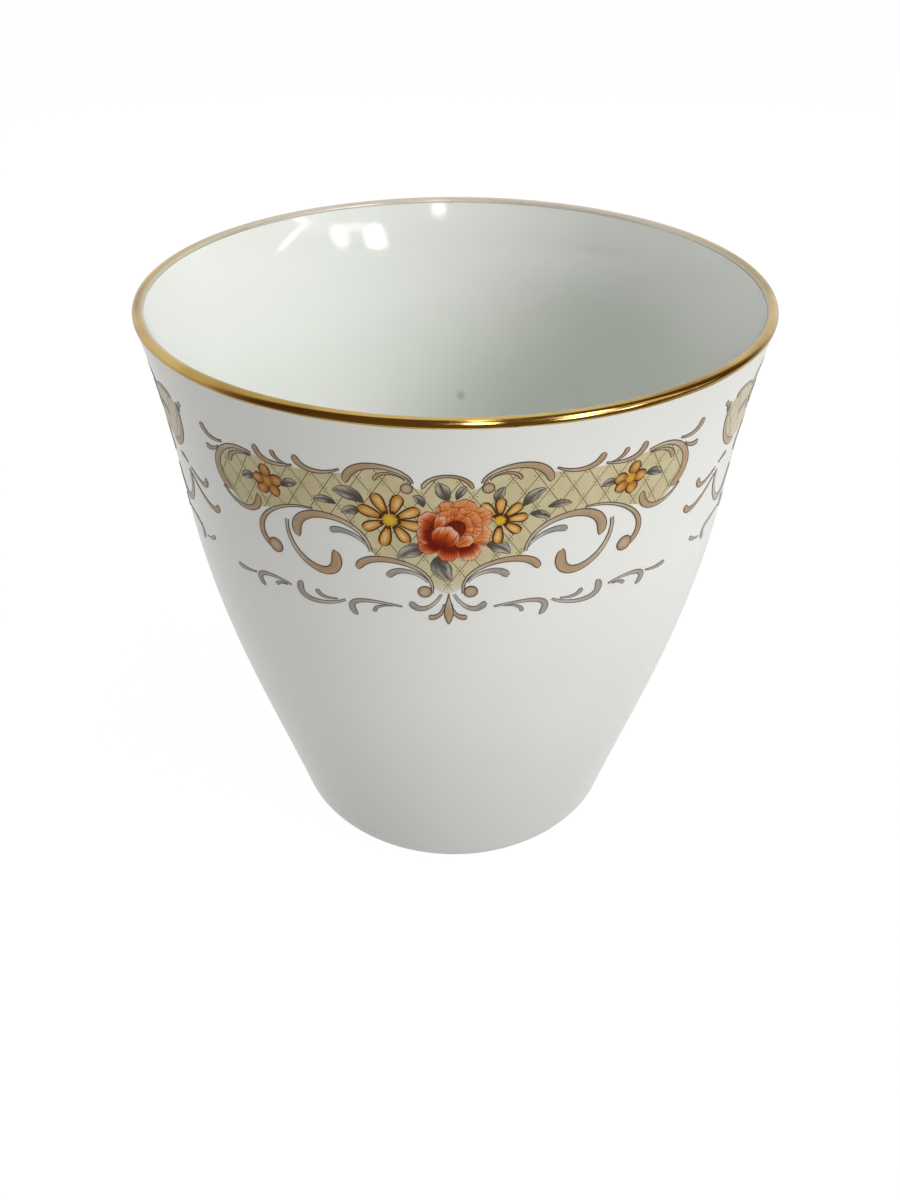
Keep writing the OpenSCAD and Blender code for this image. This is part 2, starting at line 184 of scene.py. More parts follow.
def underRun(depth):
    # the foot's outer side and the turn under the wall
    r = cupForm["footR"]
    out, up = cupForm["footSeat"]
    side = [(r, cupForm["bareFoot"]), (r + 0.2, 2.6), (r + 0.6, up), (r + out, up)]
    heel = np.array(cupForm["heel"])
    lead = heel - 0.55 * heelZ * np.array([cupForm["heelSlope"], 0.5])
    turn = [(r + out, up), (r + 2.6, up), tuple(lead), tuple(heel)]
    t = np.linspace(0, 1, 12)
    first = beside(side, t, edgeDepth(depth, 1 - smooth(t, 0, 0.35)))
    return np.concatenate([first, beside(turn, t[1:-1], depth)])


def baseRun(depth):
    # the hollow under the base, from its middle to the foot's inner side
    flatIn = cupForm["footR"] - cupForm["footRound"] - cupForm["footFlat"]
    deep = cupForm["recessH"]
    middle = deep + cupForm["recessRise"]
    end = (flatIn - cupForm["footRound"], cupForm["bareFoot"])
    hollow = [(0, middle), (12, middle), (flatIn - 1.6, deep), end]
    t = np.linspace(0, 1, 26)
    return beside(hollow, t, edgeDepth(depth, smooth(t, 0.93, 1)))


def footRun():
    r, bare, edge = cupForm["footR"], cupForm["bareFoot"], cupForm["footRound"]
    flatOut = r - edge
    flatIn = flatOut - cupForm["footFlat"]
    inner = [(flatIn - edge, bare), (flatIn - 0.45, 0.3), (flatIn - 0.3, 0), (flatIn, 0)]
    outer = [(flatOut, 0), (flatOut + 0.3, 0), (r - 0.03, 0.3), (r, bare)]
    t = np.linspace(0, 1, 6)
    return np.concatenate([bez(inner, t), bez(outer, t)])


# turned pieces

def finishMesh(name, mesh, material, node, sharp=40):
    bm = bmesh.new()
    bm.from_mesh(mesh)
    bmesh.ops.recalc_face_normals(bm, faces=bm.faces)
    bm.to_mesh(mesh)
    bm.free()
    mesh.shade_smooth()
    mesh.set_sharp_from_angle(angle=math.radians(sharp))
    mesh.materials.append(material)
    piece = linkObject(name, mesh)
    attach(piece, "root")
    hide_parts(node)


def turnedMesh(name, outline, sway=None):
    # a closed outline of radius and height, turned about the axis; sway shifts heights round the cup
    outline = np.asarray(outline, float)
    keep = [i for i in range(len(outline)) if np.linalg.norm(outline[i] - outline[i - 1]) > 1e-4]
    outline = outline[keep]
    turns = cupForm["turns"]
    angles = np.arange(turns) * 2 * math.pi / turns
    verts = []
    ring = []
    for i, (r, z) in enumerate(outline):
        if r < 1e-6:
            ring.append([len(verts)] * turns)
            verts.append((0, 0, z * mm))
            continue
        ring.append(list(range(len(verts), len(verts) + turns)))
        lift = sway(i, angles) if sway else np.zeros(turns)
        for a, d in zip(angles, lift):
            verts.append((r * math.sin(a) * mm, -r * math.cos(a) * mm, (z + d) * mm))
    faces = []
    for i in range(len(outline)):
        low, high = ring[i - 1], ring[i]
        for k in range(turns):
            corner = [low[k], low[k - 1], high[k - 1], high[k]]
            face = [v for n, v in enumerate(corner) if v not in corner[:n]]
            if len(face) > 2:
                faces.append(face)
    mesh = bpy.data.meshes.new(name)
    mesh.from_pydata(verts, [], faces)
    mesh.validate()
    return mesh


# shader tools

def bareTree(name):
    material = bpy.data.materials.new(name)
    material.use_nodes = True
    tree = material.node_tree
    tree.nodes.clear()
    return material, tree, tree.nodes.new("ShaderNodeOutputMaterial").inputs["Surface"]


def newTree(name):
    material, tree, surface = bareTree(name)
    shader = put(tree, "ShaderNodeBsdfPrincipled")
    plug(tree, shader.outputs["BSDF"], surface)
    return material, tree, shader


def put(tree, kind, settings=None, **sockets):
    node = tree.nodes.new(kind)
    for key, value in (settings or {}).items():
        setattr(node, key, value)
    return feed(tree, node, **sockets)


def feed(tree, node, **sockets):
    for key, value in sockets.items():
        plug(tree, value, node.inputs[key.replace("_", " ")])
    return node


def plug(tree, value, socket):
    # links a socket, or sets a number or a colour
    if isinstance(value, bpy.types.NodeSocket):
        tree.links.new(value, socket)
    elif isinstance(value, np.ndarray):
        socket.default_value = (*value.tolist(), 1.0)
    else:
        socket.default_value = value


def plugAll(tree, node, *values):
    for value, socket in zip(values, node.inputs):
        plug(tree, value, socket)
    return node.outputs


def sums(tree, operation, *values):
    return plugAll(tree, put(tree, "ShaderNodeMath", {"operation": operation}), *values)[0]


def times(tree, a, b):
    return sums(tree, "MULTIPLY", a, b)


def vectorSums(tree, operation, *values):
    return plugAll(tree, put(tree, "ShaderNodeVectorMath", {"operation": operation}), *values)


def placeOf(tree):
    return put(tree, "ShaderNodeTexCoord").outputs["Object"]


def attributeOf(tree, name, output="Fac"):
    return put(tree, "ShaderNodeAttribute", {"attribute_name": name}).outputs[output]


def ramped(tree, value, low, high, fromZero=0.0, toOne=1.0):
    node = put(tree, "ShaderNodeMapRange", {"interpolation_type": "SMOOTHSTEP"}, Value=value, From_Min=low,
               From_Max=high, To_Min=fromZero, To_Max=toOne)
    return node.outputs["Result"]


def blended(tree, share, a, b, kind="MIX"):
    node = put(tree, "ShaderNodeMix", {"data_type": "RGBA", "blend_type": kind}, Factor=share, A=a, B=b)
    return [s for s in node.outputs if s.type == "RGBA"][0]


# per metre, apart from the hatching, which is drawn in steps of its own
noiseScale = {
    "glazeDrift": 26.0, "glazeWave": 70.0, "specks": 90.0, "fewSpecks": 160.0, "peel": 420.0,
    "giltPatch": 60.0, "giltBrush": 180.0, "clayPatch": 120.0, "clayGrain": 1500.0,
    "hatch": 1.0, "lineWidth": 900.0, "inkGrain": 5200.0,
    "mottle": 330.0, "latticeWidth": 700.0, "groundGrain": 4200.0,
}


def noiseOf(tree, where, kind, detail=3.0):
    noise = put(tree, "ShaderNodeTexNoise", Vector=where, Scale=noiseScale[kind], Detail=detail)
    return noise.outputs["Fac"]


def addBump(tree, shader, height, strength, distance):
    bump = put(tree, "ShaderNodeBump", Strength=strength, Distance=distance, Height=height)
    feed(tree, shader, Normal=bump.outputs["Normal"])


def newGroup(name, inputs, outputs):
    group = bpy.data.node_groups.new(name, "ShaderNodeTree")
    for key, kind, value in inputs:
        socket = group.interface.new_socket(name=key, in_out="INPUT", socket_type=kind)
        socket.default_value = value
    for key, kind in outputs:
        group.interface.new_socket(name=key, in_out="OUTPUT", socket_type=kind)
    source = group.nodes.new("NodeGroupInput")
    sink = group.nodes.new("NodeGroupOutput")
    return group, source.outputs, sink.inputs


def useGroup(tree, group, **sockets):
    return put(tree, "ShaderNodeGroup", {"node_tree": group}, **sockets).outputs


number, colour = "NodeSocketFloat", "NodeSocketColor"


# the fired glaze: slow tone drift, a fine peel on the gloss and a few pin specks
def makeGlazeGroup():
    group, given, result = newGroup(
        "firedGlaze",
        [("Tone", colour, (0.8, 0.8, 0.8, 1)), ("Pooled", colour, (0.7, 0.75, 0.72, 1)),
         ("Specks", colour, (0.4, 0.35, 0.3, 1)), ("Pool", number, 0.0)],
        [("Color", colour), ("Roughness", number), ("Height", number)])
    place = placeOf(group)
    drift = ramped(group, noiseOf(group, place, "glazeDrift", 2.0), 0.35, 0.7)
    tone = blended(group, times(group, drift, 0.25), given["Tone"], given["Pooled"])
    # the second tone by the given share: glaze that collects, greener, inside and under the base, and
    # painted shade on the outside
    tone = blended(group, given["Pool"], tone, given["Pooled"])
    spots = put(group, "ShaderNodeTexVoronoi", Vector=place, Scale=noiseScale["specks"]).outputs["Distance"]
    rare = ramped(group, noiseOf(group, place, "fewSpecks", 0.0), 0.74, 0.76)
    dot = times(group, ramped(group, spots, 0.012, 0.022, 1.0, 0.0), rare)
    plug(group, blended(group, times(group, dot, 0.7), tone, given["Specks"]), result["Color"])
    peel = noiseOf(group, place, "peel", 2.0)
    slow = noiseOf(group, place, "glazeWave", 1.0)
    plug(group, ramped(group, slow, 0.2, 0.8, 0.045, 0.085), result["Roughness"])
    plug(group, sums(group, "ADD", times(group, peel, 0.25), slow), result["Height"])
    return group


glazeGroup = makeGlazeGroup()
# low and high are the heights, in mm, over which the second tone thins out: inside and under the base it is
# the greener glaze that collects there, and on the outside it is painted shade, darker towards the foot
glazeLook = {
    # on the outside the second tone is painted shade
    "outer": {"tone": ink(244, 244, 240), "pooledAndShade": ink(222, 221, 216), "low": 2, "high": 46},
    "inner": {"tone": ink(240, 242, 237), "pooledAndShade": ink(230, 238, 231), "low": 6, "high": 48},
    "base": {"tone": ink(230, 231, 226), "pooledAndShade": ink(212, 222, 214), "low": 1.2, "high": 2.9},
    "speck": ink(120, 104, 90),
    "pinMark": {"at": (0.0005, 0.0336, 0.0526), "radius": 0.0005},    # the one dark pin mark in the bowl
    "peel": 0.06,               # share of the bump that the gloss shows
}


def glazeMaterial(which):
    look = glazeLook[which]
    material, tree, shader = newTree(which + "Glaze")
    height = put(tree, "ShaderNodeSeparateXYZ", Vector=placeOf(tree)).outputs["Z"]
    # the share of the second tone grows towards the bottom; on the outside it paints shade darker towards
    # the foot
    shadeAndPoolShare = ramped(tree, height, look["low"] * mm, look["high"] * mm, 0.75, 0.0)
    coat = useGroup(tree, glazeGroup, Tone=look["tone"], Pooled=look["pooledAndShade"],
                    Specks=glazeLook["speck"], Pool=shadeAndPoolShare)
    feed(tree, shader, Base_Color=coat["Color"], Roughness=coat["Roughness"], IOR=1.5)
    addBump(tree, shader, coat["Height"], glazeLook["peel"], 0.0002)
    return material, tree, shader, coat


def innerGlazeMaterial():
    material, tree, shader, coat = glazeMaterial("inner")
    at, radius = glazeLook["pinMark"].values()
    apart = vectorSums(tree, "DISTANCE", placeOf(tree), at)["Value"]
    spot = ramped(tree, apart, radius * 0.1, radius * 2.3, 0.36, 0.0)
    feed(tree, shader, Base_Color=blended(tree, spot, coat["Color"], glazeLook["speck"]))
    return material


def biscuitMaterial():
    look = {"clay": ink(226, 217, 202), "toasted": ink(205, 186, 160)}
    material, tree, shader = newTree("bareClay")
    place = placeOf(tree)
    grain = noiseOf(tree, place, "clayGrain", 4.0)
    patch = ramped(tree, noiseOf(tree, place, "clayPatch", 2.0), 0.4, 0.7)
    tone = blended(tree, patch, look["clay"], look["toasted"])
    tone = blended(tree, times(tree, grain, 0.25), tone, look["toasted"] * 0.7)
    feed(tree, shader, Base_Color=tone, Roughness=ramped(tree, grain, 0.2, 0.8, 0.75, 0.95))
    addBump(tree, shader, grain, 0.4, 0.00005)
    return material


def giltMaterial():
    look = {"bright": ink(200, 170, 100), "deep": ink(150, 113, 48), "paleInnerTone": ink(180, 165, 128),
            "paintedGlare": ink(210, 201, 186), "bare": ink(230, 229, 222)}
    # where the gold turns paler and where it ends bare, in mm in from the lip, and how far back its painted
    # glare reaches
    giltPaleZones = {"paleInner": (1.1, 0.5), "bare": (1.25, 1.0), "glareReach": 32}
    material, tree, shader = newTree("burnishedGilt")
    place = placeOf(tree)
    # brush lines run round the lip
    brushed = vectorSums(tree, "MULTIPLY", place, (1.0, 1.0, 9.0))["Vector"]
    streak = noiseOf(tree, brushed, "giltBrush")
    patch = noiseOf(tree, place, "giltPatch", 2.0)
    tone = blended(tree, ramped(tree, patch, 0.35, 0.7), look["bright"], look["deep"])
    tone = blended(tree, ramped(tree, streak, 0.55, 0.75, 0.0, 0.35), tone, look["deep"] * 0.7)
    # the gold is paler and less metallic on the inner half of the lip, and towards the far side it turns
    # pale and dull: painted glare
    level = vectorSums(tree, "MULTIPLY", place, (1.0, 1.0, 0.0))["Vector"]
    away = vectorSums(tree, "LENGTH", level)["Value"]

    def towardsMiddle(over, share):
        return ramped(tree, away, (rimR - over[0]) * mm, (rimR - over[1]) * mm, share, 0.0)

    paleInner = towardsMiddle(giltPaleZones["paleInner"], 0.8)
    bare = towardsMiddle(giltPaleZones["bare"], 0.4)
    back = put(tree, "ShaderNodeSeparateXYZ", Vector=place).outputs["Y"]
    # painted glare: the gold is made pale and dull towards the far side of the cup
    paintedGlare = ramped(tree, back, 0.0, giltPaleZones["glareReach"] * mm, 0.0, 0.85)
    for share, left in ((paleInner, "paleInnerTone"), (paintedGlare, "paintedGlare"), (bare, "bare")):
        tone = blended(tree, share, tone, look[left])
    # this share dulls the gold; it carries the paler inner half, the bare edge and the painted glare
    thin = sums(tree, "MAXIMUM", times(tree, paleInner, 0.8), sums(tree, "MAXIMUM", paintedGlare, bare))
    rough = ramped(tree, streak, 0.3, 0.75, 0.08, 0.22)
    feed(tree, shader, Base_Color=tone, Metallic=sums(tree, "SUBTRACT", 1.0, thin),
         Roughness=sums(tree, "MULTIPLY_ADD", thin, 0.1, rough))
    addBump(tree, shader, streak, 0.12, 0.00004)
    return material


def turnedPiece(name, outline, material, node, sway=None):
    finishMesh(name, turnedMesh(name, outline, sway), material, node)


def makeTurnedPieces():
    coat = cupForm["glazeT"]
    lipOut, lipIn = -math.degrees(lipLean), 180 - math.degrees(lipLean)

    def outerRun(depth):
        return np.concatenate([underRun(depth), outsideRun(depth), lipRun(depth, lipOut, 90)])

    def innerRun(depth):
        return np.concatenate([lipRun(depth, 90, lipIn), insideRun(depth), bowlRun(depth)])

    def coatOf(run):
        return np.concatenate([run(0), run(coat)[::-1]])

    body = np.concatenate([
        baseRun(coat), footRun(), underRun(coat), outsideRun(coat),
        lipRun(coat, lipOut, lipIn), insideRun(coat), bowlRun(coat)])
    turnedPiece("porcelainBody", body, biscuitMaterial(), "porcelain_body")
    turnedPiece("outerGlaze", coatOf(outerRun), glazeMaterial("outer")[0], "outer_glaze")
    turnedPiece("innerGlaze", coatOf(innerRun), innerGlazeMaterial(), "inner_glaze")
    turnedPiece("baseGlaze", coatOf(baseRun), glazeMaterial("base")[0], "base_glaze")

    # the gold line, in mm: its thickness, its widths below the lip's round, and how far its edge wanders;
    # then the shares of its thickness at the edge, and of its width over which it thins
    gilt = {"thick": 0.08, "outside": 0.15, "inside": 0.1, "waver": 0.03, "edgeShare": 0.05, "taper": 0.12}

    def giltRun(depth):
        z = np.linspace(wallTop[1] - gilt["outside"], wallTop[1], 4)[:-1]
        inZ = np.linspace(wallTop[1], wallTop[1] - gilt["inside"], 3)[1:]
        return np.concatenate([wallAt(z, depth), lipRun(depth, lipOut, lipIn, 22),
                               wallAt(inZ, wallT(inZ) - depth)])

    face, back = giltRun(-gilt["thick"]), giltRun(0)
    along = np.linspace(0, 1, len(face))
    full = smooth(np.minimum(along, 1 - along), 0, gilt["taper"])[:, None]
    face = back + (face - back) * (gilt["edgeShare"] + (1 - gilt["edgeShare"]) * full)
    outline = np.concatenate([face, back[::-1]])
    count = len(outline)

    def waver(i, angles):
        # the hand-laid edge wanders a little below the lip
        fade = max(0.0, 1 - min(i, count - 1 - i) / 3)
        sway = np.sin(5 * angles + 1) + 0.6 * np.sin(13 * angles) + 0.4 * np.sin(29 * angles + 2)
        return gilt["waver"] * fade * sway

    turnedPiece("giltRim", outline, giltMaterial(), "gilt_rim", waver)
    print("turned pieces made")


makeTurnedPieces()


# enamel: every mark is a thin patch on the wall, drawn in mm across the panel and above its base line

panelForm = {
    "drop": 22.0,           # base line below the lip
    "designR": 37.6,        # radius at which the widths are drawn
    "root": -0.012,         # the patches start just inside the glaze
    "turns": {"front": 0, "right": 90, "back": 180, "left": -90},
    "slope": {"front": 0.0227, "right": 0, "back": 0, "left": 0},    # the front lies off level
    "rise": {"front": 0, "right": 0.4, "back": 0, "left": -0.4},
}
panelZ = cupH - panelForm["drop"]
# heights of the enamel over the glaze, in mm, and the steps by which the laps of one colour rise
layer = {
    "ground": 0.03, "scroll": 0.045, "comma": 0.049, "arch": 0.049, "stem": 0.052, "knob": 0.053,
    "leaf": 0.055, "daisy": 0.065, "eye": 0.071, "dot": 0.073, "rose": 0.072,
    "scrollStep": 0.0004, "petalStep": 0.001, "roseStep": 0.0022,
}


def onWall(u, v, lift, where):
    v = v + panelForm["rise"][where]
    x = wallAt(panelZ + v, 0)[:, 0] * np.sin(u / panelForm["designR"])
    z = panelZ + v + panelForm["slope"][where] * x
    rz = wallAt(z, -lift)
    a = np.arcsin(x / wallAt(z, 0)[:, 0]) + math.radians(panelForm["turns"][where])
    return np.stack([rz[:, 0] * np.sin(a), -rz[:, 0] * np.cos(a), rz[:, 1]], 1) * mm


class Enamel:
    # gathers the patches of one piece and lays them on the wall as one mesh
    def __init__(self):
        self.points, self.faces = [], []
        self.tint, self.edge, self.hatch, self.hatchOn = [], [], [], []
        self.count = 0
        self.marks = 0

    def lay(self, grid, lift, tint, edge, hatch, hatchOn=1.0):
        rows, cols = grid.shape[:2]
        n = rows * cols
        flat = grid.reshape(n, 2)
        lift = np.broadcast_to(np.asarray(lift, float), (rows, cols)).reshape(n, 1)
        self.points.append(np.concatenate([flat, lift], 1))
        self.points.append(np.concatenate([flat, np.full((n, 1), panelForm["root"])], 1))
        self.marks += 1
        mark = np.concatenate([hatch.reshape(n, 2), np.full((n, 1), self.marks * 3.7)], 1)
        for _ in range(2):
            self.tint.append(np.broadcast_to(tint, (rows, cols, 3)).reshape(n, 3))
            self.edge.append(edge.reshape(n))
            self.hatch.append(mark)
            self.hatchOn.append(np.full(n, hatchOn))
        at = np.arange(n).reshape(rows, cols) + self.count
        quads = np.stack([at[:-1, :-1], at[1:, :-1], at[1:, 1:], at[:-1, 1:]], -1).reshape(-1, 4)
        rim = np.concatenate([at[0, :-1], at[:-1, -1], at[-1, :0:-1], at[:0:-1, 0]])
        after = np.roll(rim, -1)
        self.faces.append(quads)
        self.faces.append(quads[:, ::-1] + n)
        self.faces.append(np.stack([rim, after, after + n, rim + n], 1))
        self.count += 2 * n

    def made(self, where, kind, material, slot):
        points = np.concatenate(self.points)
        verts = onWall(points[:, 0], points[:, 1], points[:, 2], where)
        name = where + kind.capitalize()
        mesh = bpy.data.meshes.new(name)
        mesh.from_pydata(verts.tolist(), [], np.concatenate(self.faces).tolist())
        tint = np.concatenate(self.tint)
        told = {
            "tint": ("FLOAT_COLOR", "color", np.concatenate([tint, np.ones((len(tint), 1))], 1)),
            "edge": ("FLOAT", "value", np.concatenate(self.edge)),
            "hatchAt": ("FLOAT_VECTOR", "vector", np.concatenate(self.hatch)),
            "hatchOn": ("FLOAT", "value", np.concatenate(self.hatchOn)),
            "drawnAt": ("FLOAT_VECTOR", "vector", points * (1, 1, 0)),
        }
        for key, (sort, field, values) in told.items():
            mesh.attributes.new(key, sort, "POINT").data.foreach_set(field, values.ravel())
        finishMesh(name, mesh, material, where + "_" + kind, 60)


# shapes of the marks: share of the full width along the stroke

def comma(t):
    return (0.28 + 0.72 * t ** 1.2) * np.sqrt(np.maximum(1 - t ** 18, 0.003))


def flame(t):
    return 0.1 + 0.9 * np.maximum(np.sin(np.pi * t ** 1.5), 0) ** 0.9


def band(t):
    return (0.65 + 0.35 * (2 * t - 1) ** 2) * np.sqrt(1.02 - (2 * t - 1) ** 12)


def leafShape(t):
    return np.maximum(np.sin(np.pi * np.clip(t, 0, 1)), 0) ** 0.8 * 0.96 + 0.04


def petalShape(t):
    return (0.25 + 0.75 * np.sin(np.pi / 2 * t)) * np.sqrt(np.maximum(1 - t ** 6, 0.003))


def roundPetal(t):
    return 0.06 + 0.94 * np.sqrt(np.maximum(1 - (2 * t - 1) ** 2, 0))


def strokeGrid(curve, width, form, steps=26, cols=7, hook=0.0, crowd=1.7):
    # the patch, its distance from the edge, and how far along and across each point is
    t = 1 - (1 - np.linspace(0, 1, steps + 1)) ** crowd
    s = np.linspace(-1, 1, cols)
    half = width / 2 * form(t)
    a, b, c = np.diff(np.asarray(curve, float), axis=0)
    bend = a[0] * b[1] - a[1] * b[0] + b[0] * c[1] - b[1] * c[0]
    outer = -1 if bend > 0 else 1       # the outer side of the curl ends first, so the tip is hooked
    tt = t[:, None] * (1 - hook * (1 + outer * s[None, :]) / 2)
    mid = bez(curve, tt.ravel()).reshape(len(t), cols, 2)
    side = leftOf(curve, tt.ravel()).reshape(len(t), cols, 2)
    across = half[:, None] * s[None, :]
    grid = mid + side * across[:, :, None]
    edge = half[:, None] * (1 - np.abs(s))[None, :]
    length = np.linalg.norm(np.diff(bez(curve, np.linspace(0, 1, 30)), axis=0), axis=1).sum()
    hatch = np.stack([np.broadcast_to(s * width / 2, grid.shape[:2]),
                      np.broadcast_to((t * length)[:, None], grid.shape[:2])], -1)
    return grid, edge, t[:, None] + 0 * s[None, :], s[None, :] + 0 * t[:, None], hatch


def discGrid(middle, radius, size=9):
    x = np.linspace(-1, 1, size)
    gx, gy = np.meshgrid(x, x, indexing="ij")
    dx, dy = gx * np.sqrt(1 - gy ** 2 / 2), gy * np.sqrt(1 - gx ** 2 / 2)
    grid = np.stack([middle[0] + radius * dx, middle[1] + radius * dy], -1)
    far = np.sqrt(dx ** 2 + dy ** 2)
    return grid, radius * (1 - np.minimum(far, 1)), far, np.stack([dx * radius, dy * radius], -1)


def mirroredCurve(p, side):
    return [(side * q[0], q[1]) for q in p[:4]]


# enamel inks

def makeInkGroup():
    group, given, result = newGroup(
        "printedInk",
        [("Line", colour, (0.1, 0.08, 0.06, 1)), ("Line Width", number, 0.12),
         ("Hatch", number, 0.3), ("Hatch Colour", colour, (0.2, 0.15, 0.1, 1)),
         ("Hatch Across", number, 5.0), ("Hatch Along", number, 0.6)],
        [("Color", colour), ("Roughness", number), ("Height", number)])
    tint = attributeOf(group, "tint", "Color")
    edge = attributeOf(group, "edge")
    where = attributeOf(group, "hatchAt", "Vector")
    pull = put(group, "ShaderNodeCombineXYZ", X=given["Hatch Across"], Y=given["Hatch Along"], Z=1.0)
    pulled = vectorSums(group, "MULTIPLY", where, pull.outputs["Vector"])["Vector"]
    strokes = ramped(group, noiseOf(group, pulled, "hatch"), 0.48, 0.66)
    strokes = times(group, strokes, attributeOf(group, "hatchOn"))
    body = blended(group, times(group, strokes, given["Hatch"]), tint, given["Hatch Colour"])
    place = placeOf(group)
    grain = noiseOf(group, place, "inkGrain", 2.0)
    body = blended(group, ramped(group, grain, 0.45, 0.8, 0.0, 0.25), body, given["Hatch Colour"])
    wide = sums(group, "MULTIPLY_ADD", noiseOf(group, place, "lineWidth", 1.0), 0.5, 0.75)
    wide = times(group, wide, given["Line Width"])
    line = ramped(group, edge, times(group, wide, 0.7), times(group, wide, 1.25), 1.0, 0.0)
    plug(group, blended(group, line, body, given["Line"]), result["Color"])
    plug(group, ramped(group, grain, 0.3, 0.7, 0.2, 0.32), result["Roughness"])
    plug(group, grain, result["Height"])
    return group


inkGroup = makeInkGroup()


# fired enamel has little gloss and a soft bloom, which pales the print along the cup's outline
enamelLook = {"Sheen Weight": 0.6, "Sheen Roughness": 0.3, "Specular IOR Level": 0.08, "IOR": 1.5}


def setEnamel(tree, shader, tone, roughness, height, strength):
    feed(tree, shader, Base_Color=tone, Roughness=roughness, **enamelLook)
    addBump(tree, shader, height, strength, 0.00002)


def inkMaterial(name, look):
    material, tree, shader = newTree(name)
    inked = useGroup(
        tree, inkGroup, Line=look["line"], Line_Width=look["lineW"], Hatch=look["hatch"],
        Hatch_Colour=look["hatchInk"], Hatch_Across=look["across"], Hatch_Along=look["along"])
    setEnamel(tree, shader, inked["Color"], inked["Roughness"], inked["Height"], 0.1)
    return material


bareWhite = ink(228, 226, 219)


# scrolls: taupe commas that fade to bare white at their tails, with a thin dark contour

scrollLook = {
    "full": ink(190, 162, 130), "shade": ink(166, 136, 104), "tail": ink(206, 194, 176),
    "line": ink(92, 76, 60), "lineW": 0.12,
    "hatch": 0.35, "hatchInk": ink(150, 120, 94), "across": 6.0, "along": 0.8,
}
scrollInk = inkMaterial("taupeScroll", scrollLook)
mainScrolls = [
    [(3.4, 14.8), (3.6, 16.7), (9.7, 18), (10.3, 14.2), 1.15],
    [(4.1, 15.2), (4.9, 16.1), (7, 16.2), (7.2, 14.9), 0.6],
    [(10.7, 15.8), (12.6, 14.7), (15.4, 14.8), (15.6, 16.6), 1],
    [(16.6, 15.1), (17.3, 15.2), (18.3, 15.6), (18.2, 16.5), 0.75],
    [(16, 15.2), (18, 14.7), (20.4, 14.5), (20.5, 16.6), 1],
    [(21.2, 15.2), (25.9, 16.6), (29.7, 11.1), (25.8, 9.1), 1.45],
    [(21.4, 14.9), (23.2, 15.1), (24.8, 14.4), (24.9, 13.1), 0.8],
    [(25.6, 15.3), (27, 14.9), (28.6, 15.1), (28.7, 16.6), 1],
    [(26.5, 14.4), (27.3, 13.7), (28.1, 13.5), (28.9, 13.7), 0.85],
    [(27.3, 9.2), (25.8, 6.9), (21.7, 6.8), (21.5, 10.1), 1.1],
    [(14.4, 10.2), (19.4, 10.5), (24.5, 5.7), (20.6, 3.2), 1],
    [(8.2, 5.8), (8.7, 11), (17.9, 10.9), (16.8, 5.9), 1.45],
    [(18, 7.9), (19.2, 2.3), (11.3, -0.4), (12.4, 5.3), 1.55],
    [(1.7, 0.7), (0.9, 5.2), (9.3, 6.3), (9.9, 3.2), 1.15],
    [(0.4, -0.8), (0.5, -2.2), (1.2, -2.9), (2.2, -2.7), 0.9],
]
mainArch = [(-2.5, 14.2), (-1.9, 16.3), (1.9, 16.3), (2.5, 14.2), 0.6]
mainStem = [(0.1, 0.7), (0.1, -0.8), (0.1, -2.1), (0.1, -3.7), 1.1]
mainKnobs = [((4, 14.2), 0.65), ((20.3, 3.7), 1), ((2.5, 0.9), 0.8)]
sideScrolls = [
    [(0.3, 16.9), (3, 17.8), (6.4, 17.4), (8.4, 15.4), 1.2],
    [(9.4, 15.9), (12, 17.8), (16.4, 17.4), (18, 15.8), 1.1],
    [(18.4, 16.4), (20, 17.3), (22.4, 17.4), (23.6, 16.6), 0.8],
    [(24.9, 16.6), (24.9, 13.2), (23.4, 10.2), (19.5, 9.7), 1.15],
    [(25.3, 15.6), (25.4, 16.3), (25.6, 16.7), (26.2, 16.9), 0.7],
    [(23.4, 7.6), (24.8, 7), (27.2, 5.6), (27.6, 8), 0.9],
    [(23.2, 6.7), (24.8, 4.6), (28.6, 2.7), (29.1, 5), 1],
    [(22.7, 7.9), (22.2, 8.2), (21.6, 8.4), (20.7, 8.4), 0.7],
    [(22.7, 7), (22.6, 1.6), (15.8, -1.6), (15.6, 4.6), 1.6],
    [(9.4, 6.6), (9.8, 10.6), (17.4, 10.2), (15.9, 6.4), 1.3],
    [(1, 2), (1.4, 6.2), (9, 8), (9.6, 4.2), 1.4],
]
sideKnobs = [((2.1, 1.2), 0.8)]


def layStroke(enamel, mark, look, lift, side=1, form=comma, hook=0.012, hatchOn=1.0):
    grid, edge, t, s, hatch = strokeGrid(mirroredCurve(mark, side), mark[4], form, hook=hook)
    fill = mixed(look["tail"], look["full"], smooth(t, 0.15, 0.6))
    fill = mixed(fill, look["shade"], 0.7 * smooth(-side * s, -0.2, 1) * smooth(t, 0.3, 0.9))
    enamel.lay(grid, lift, fill, edge, hatch, hatchOn)


def layKnob(enamel, middle, radius, side):
    grid, edge, far, hatch = discGrid((side * middle[0], middle[1]), radius)
    pale = mixed(scrollLook["full"], bareWhite, 0.2)
    fill = mixed(pale, scrollLook["shade"], smooth(far, 0.35, 0.95))
    enamel.lay(grid, layer["knob"], fill, edge, hatch)


def scrollPiece(where, strokes, knobs, arch=None, stem=None):
    enamel = Enamel()
    for side in (1, -1):
        for n, mark in enumerate(strokes):
            layStroke(enamel, mark, scrollLook, layer["scroll"] + layer["scrollStep"] * n, side)
        for middle, radius in knobs:
            layKnob(enamel, middle, radius, side)
    if arch:
        layStroke(enamel, arch, scrollLook, layer["arch"], 1, band, 0)
    if stem:
        layStroke(enamel, stem, scrollLook, layer["stem"], 1, flame, 0)
    enamel.made(where, "scrolls", scrollInk, "taupe_enamel")


# garland: a chain of small grey-brown commas under the panel

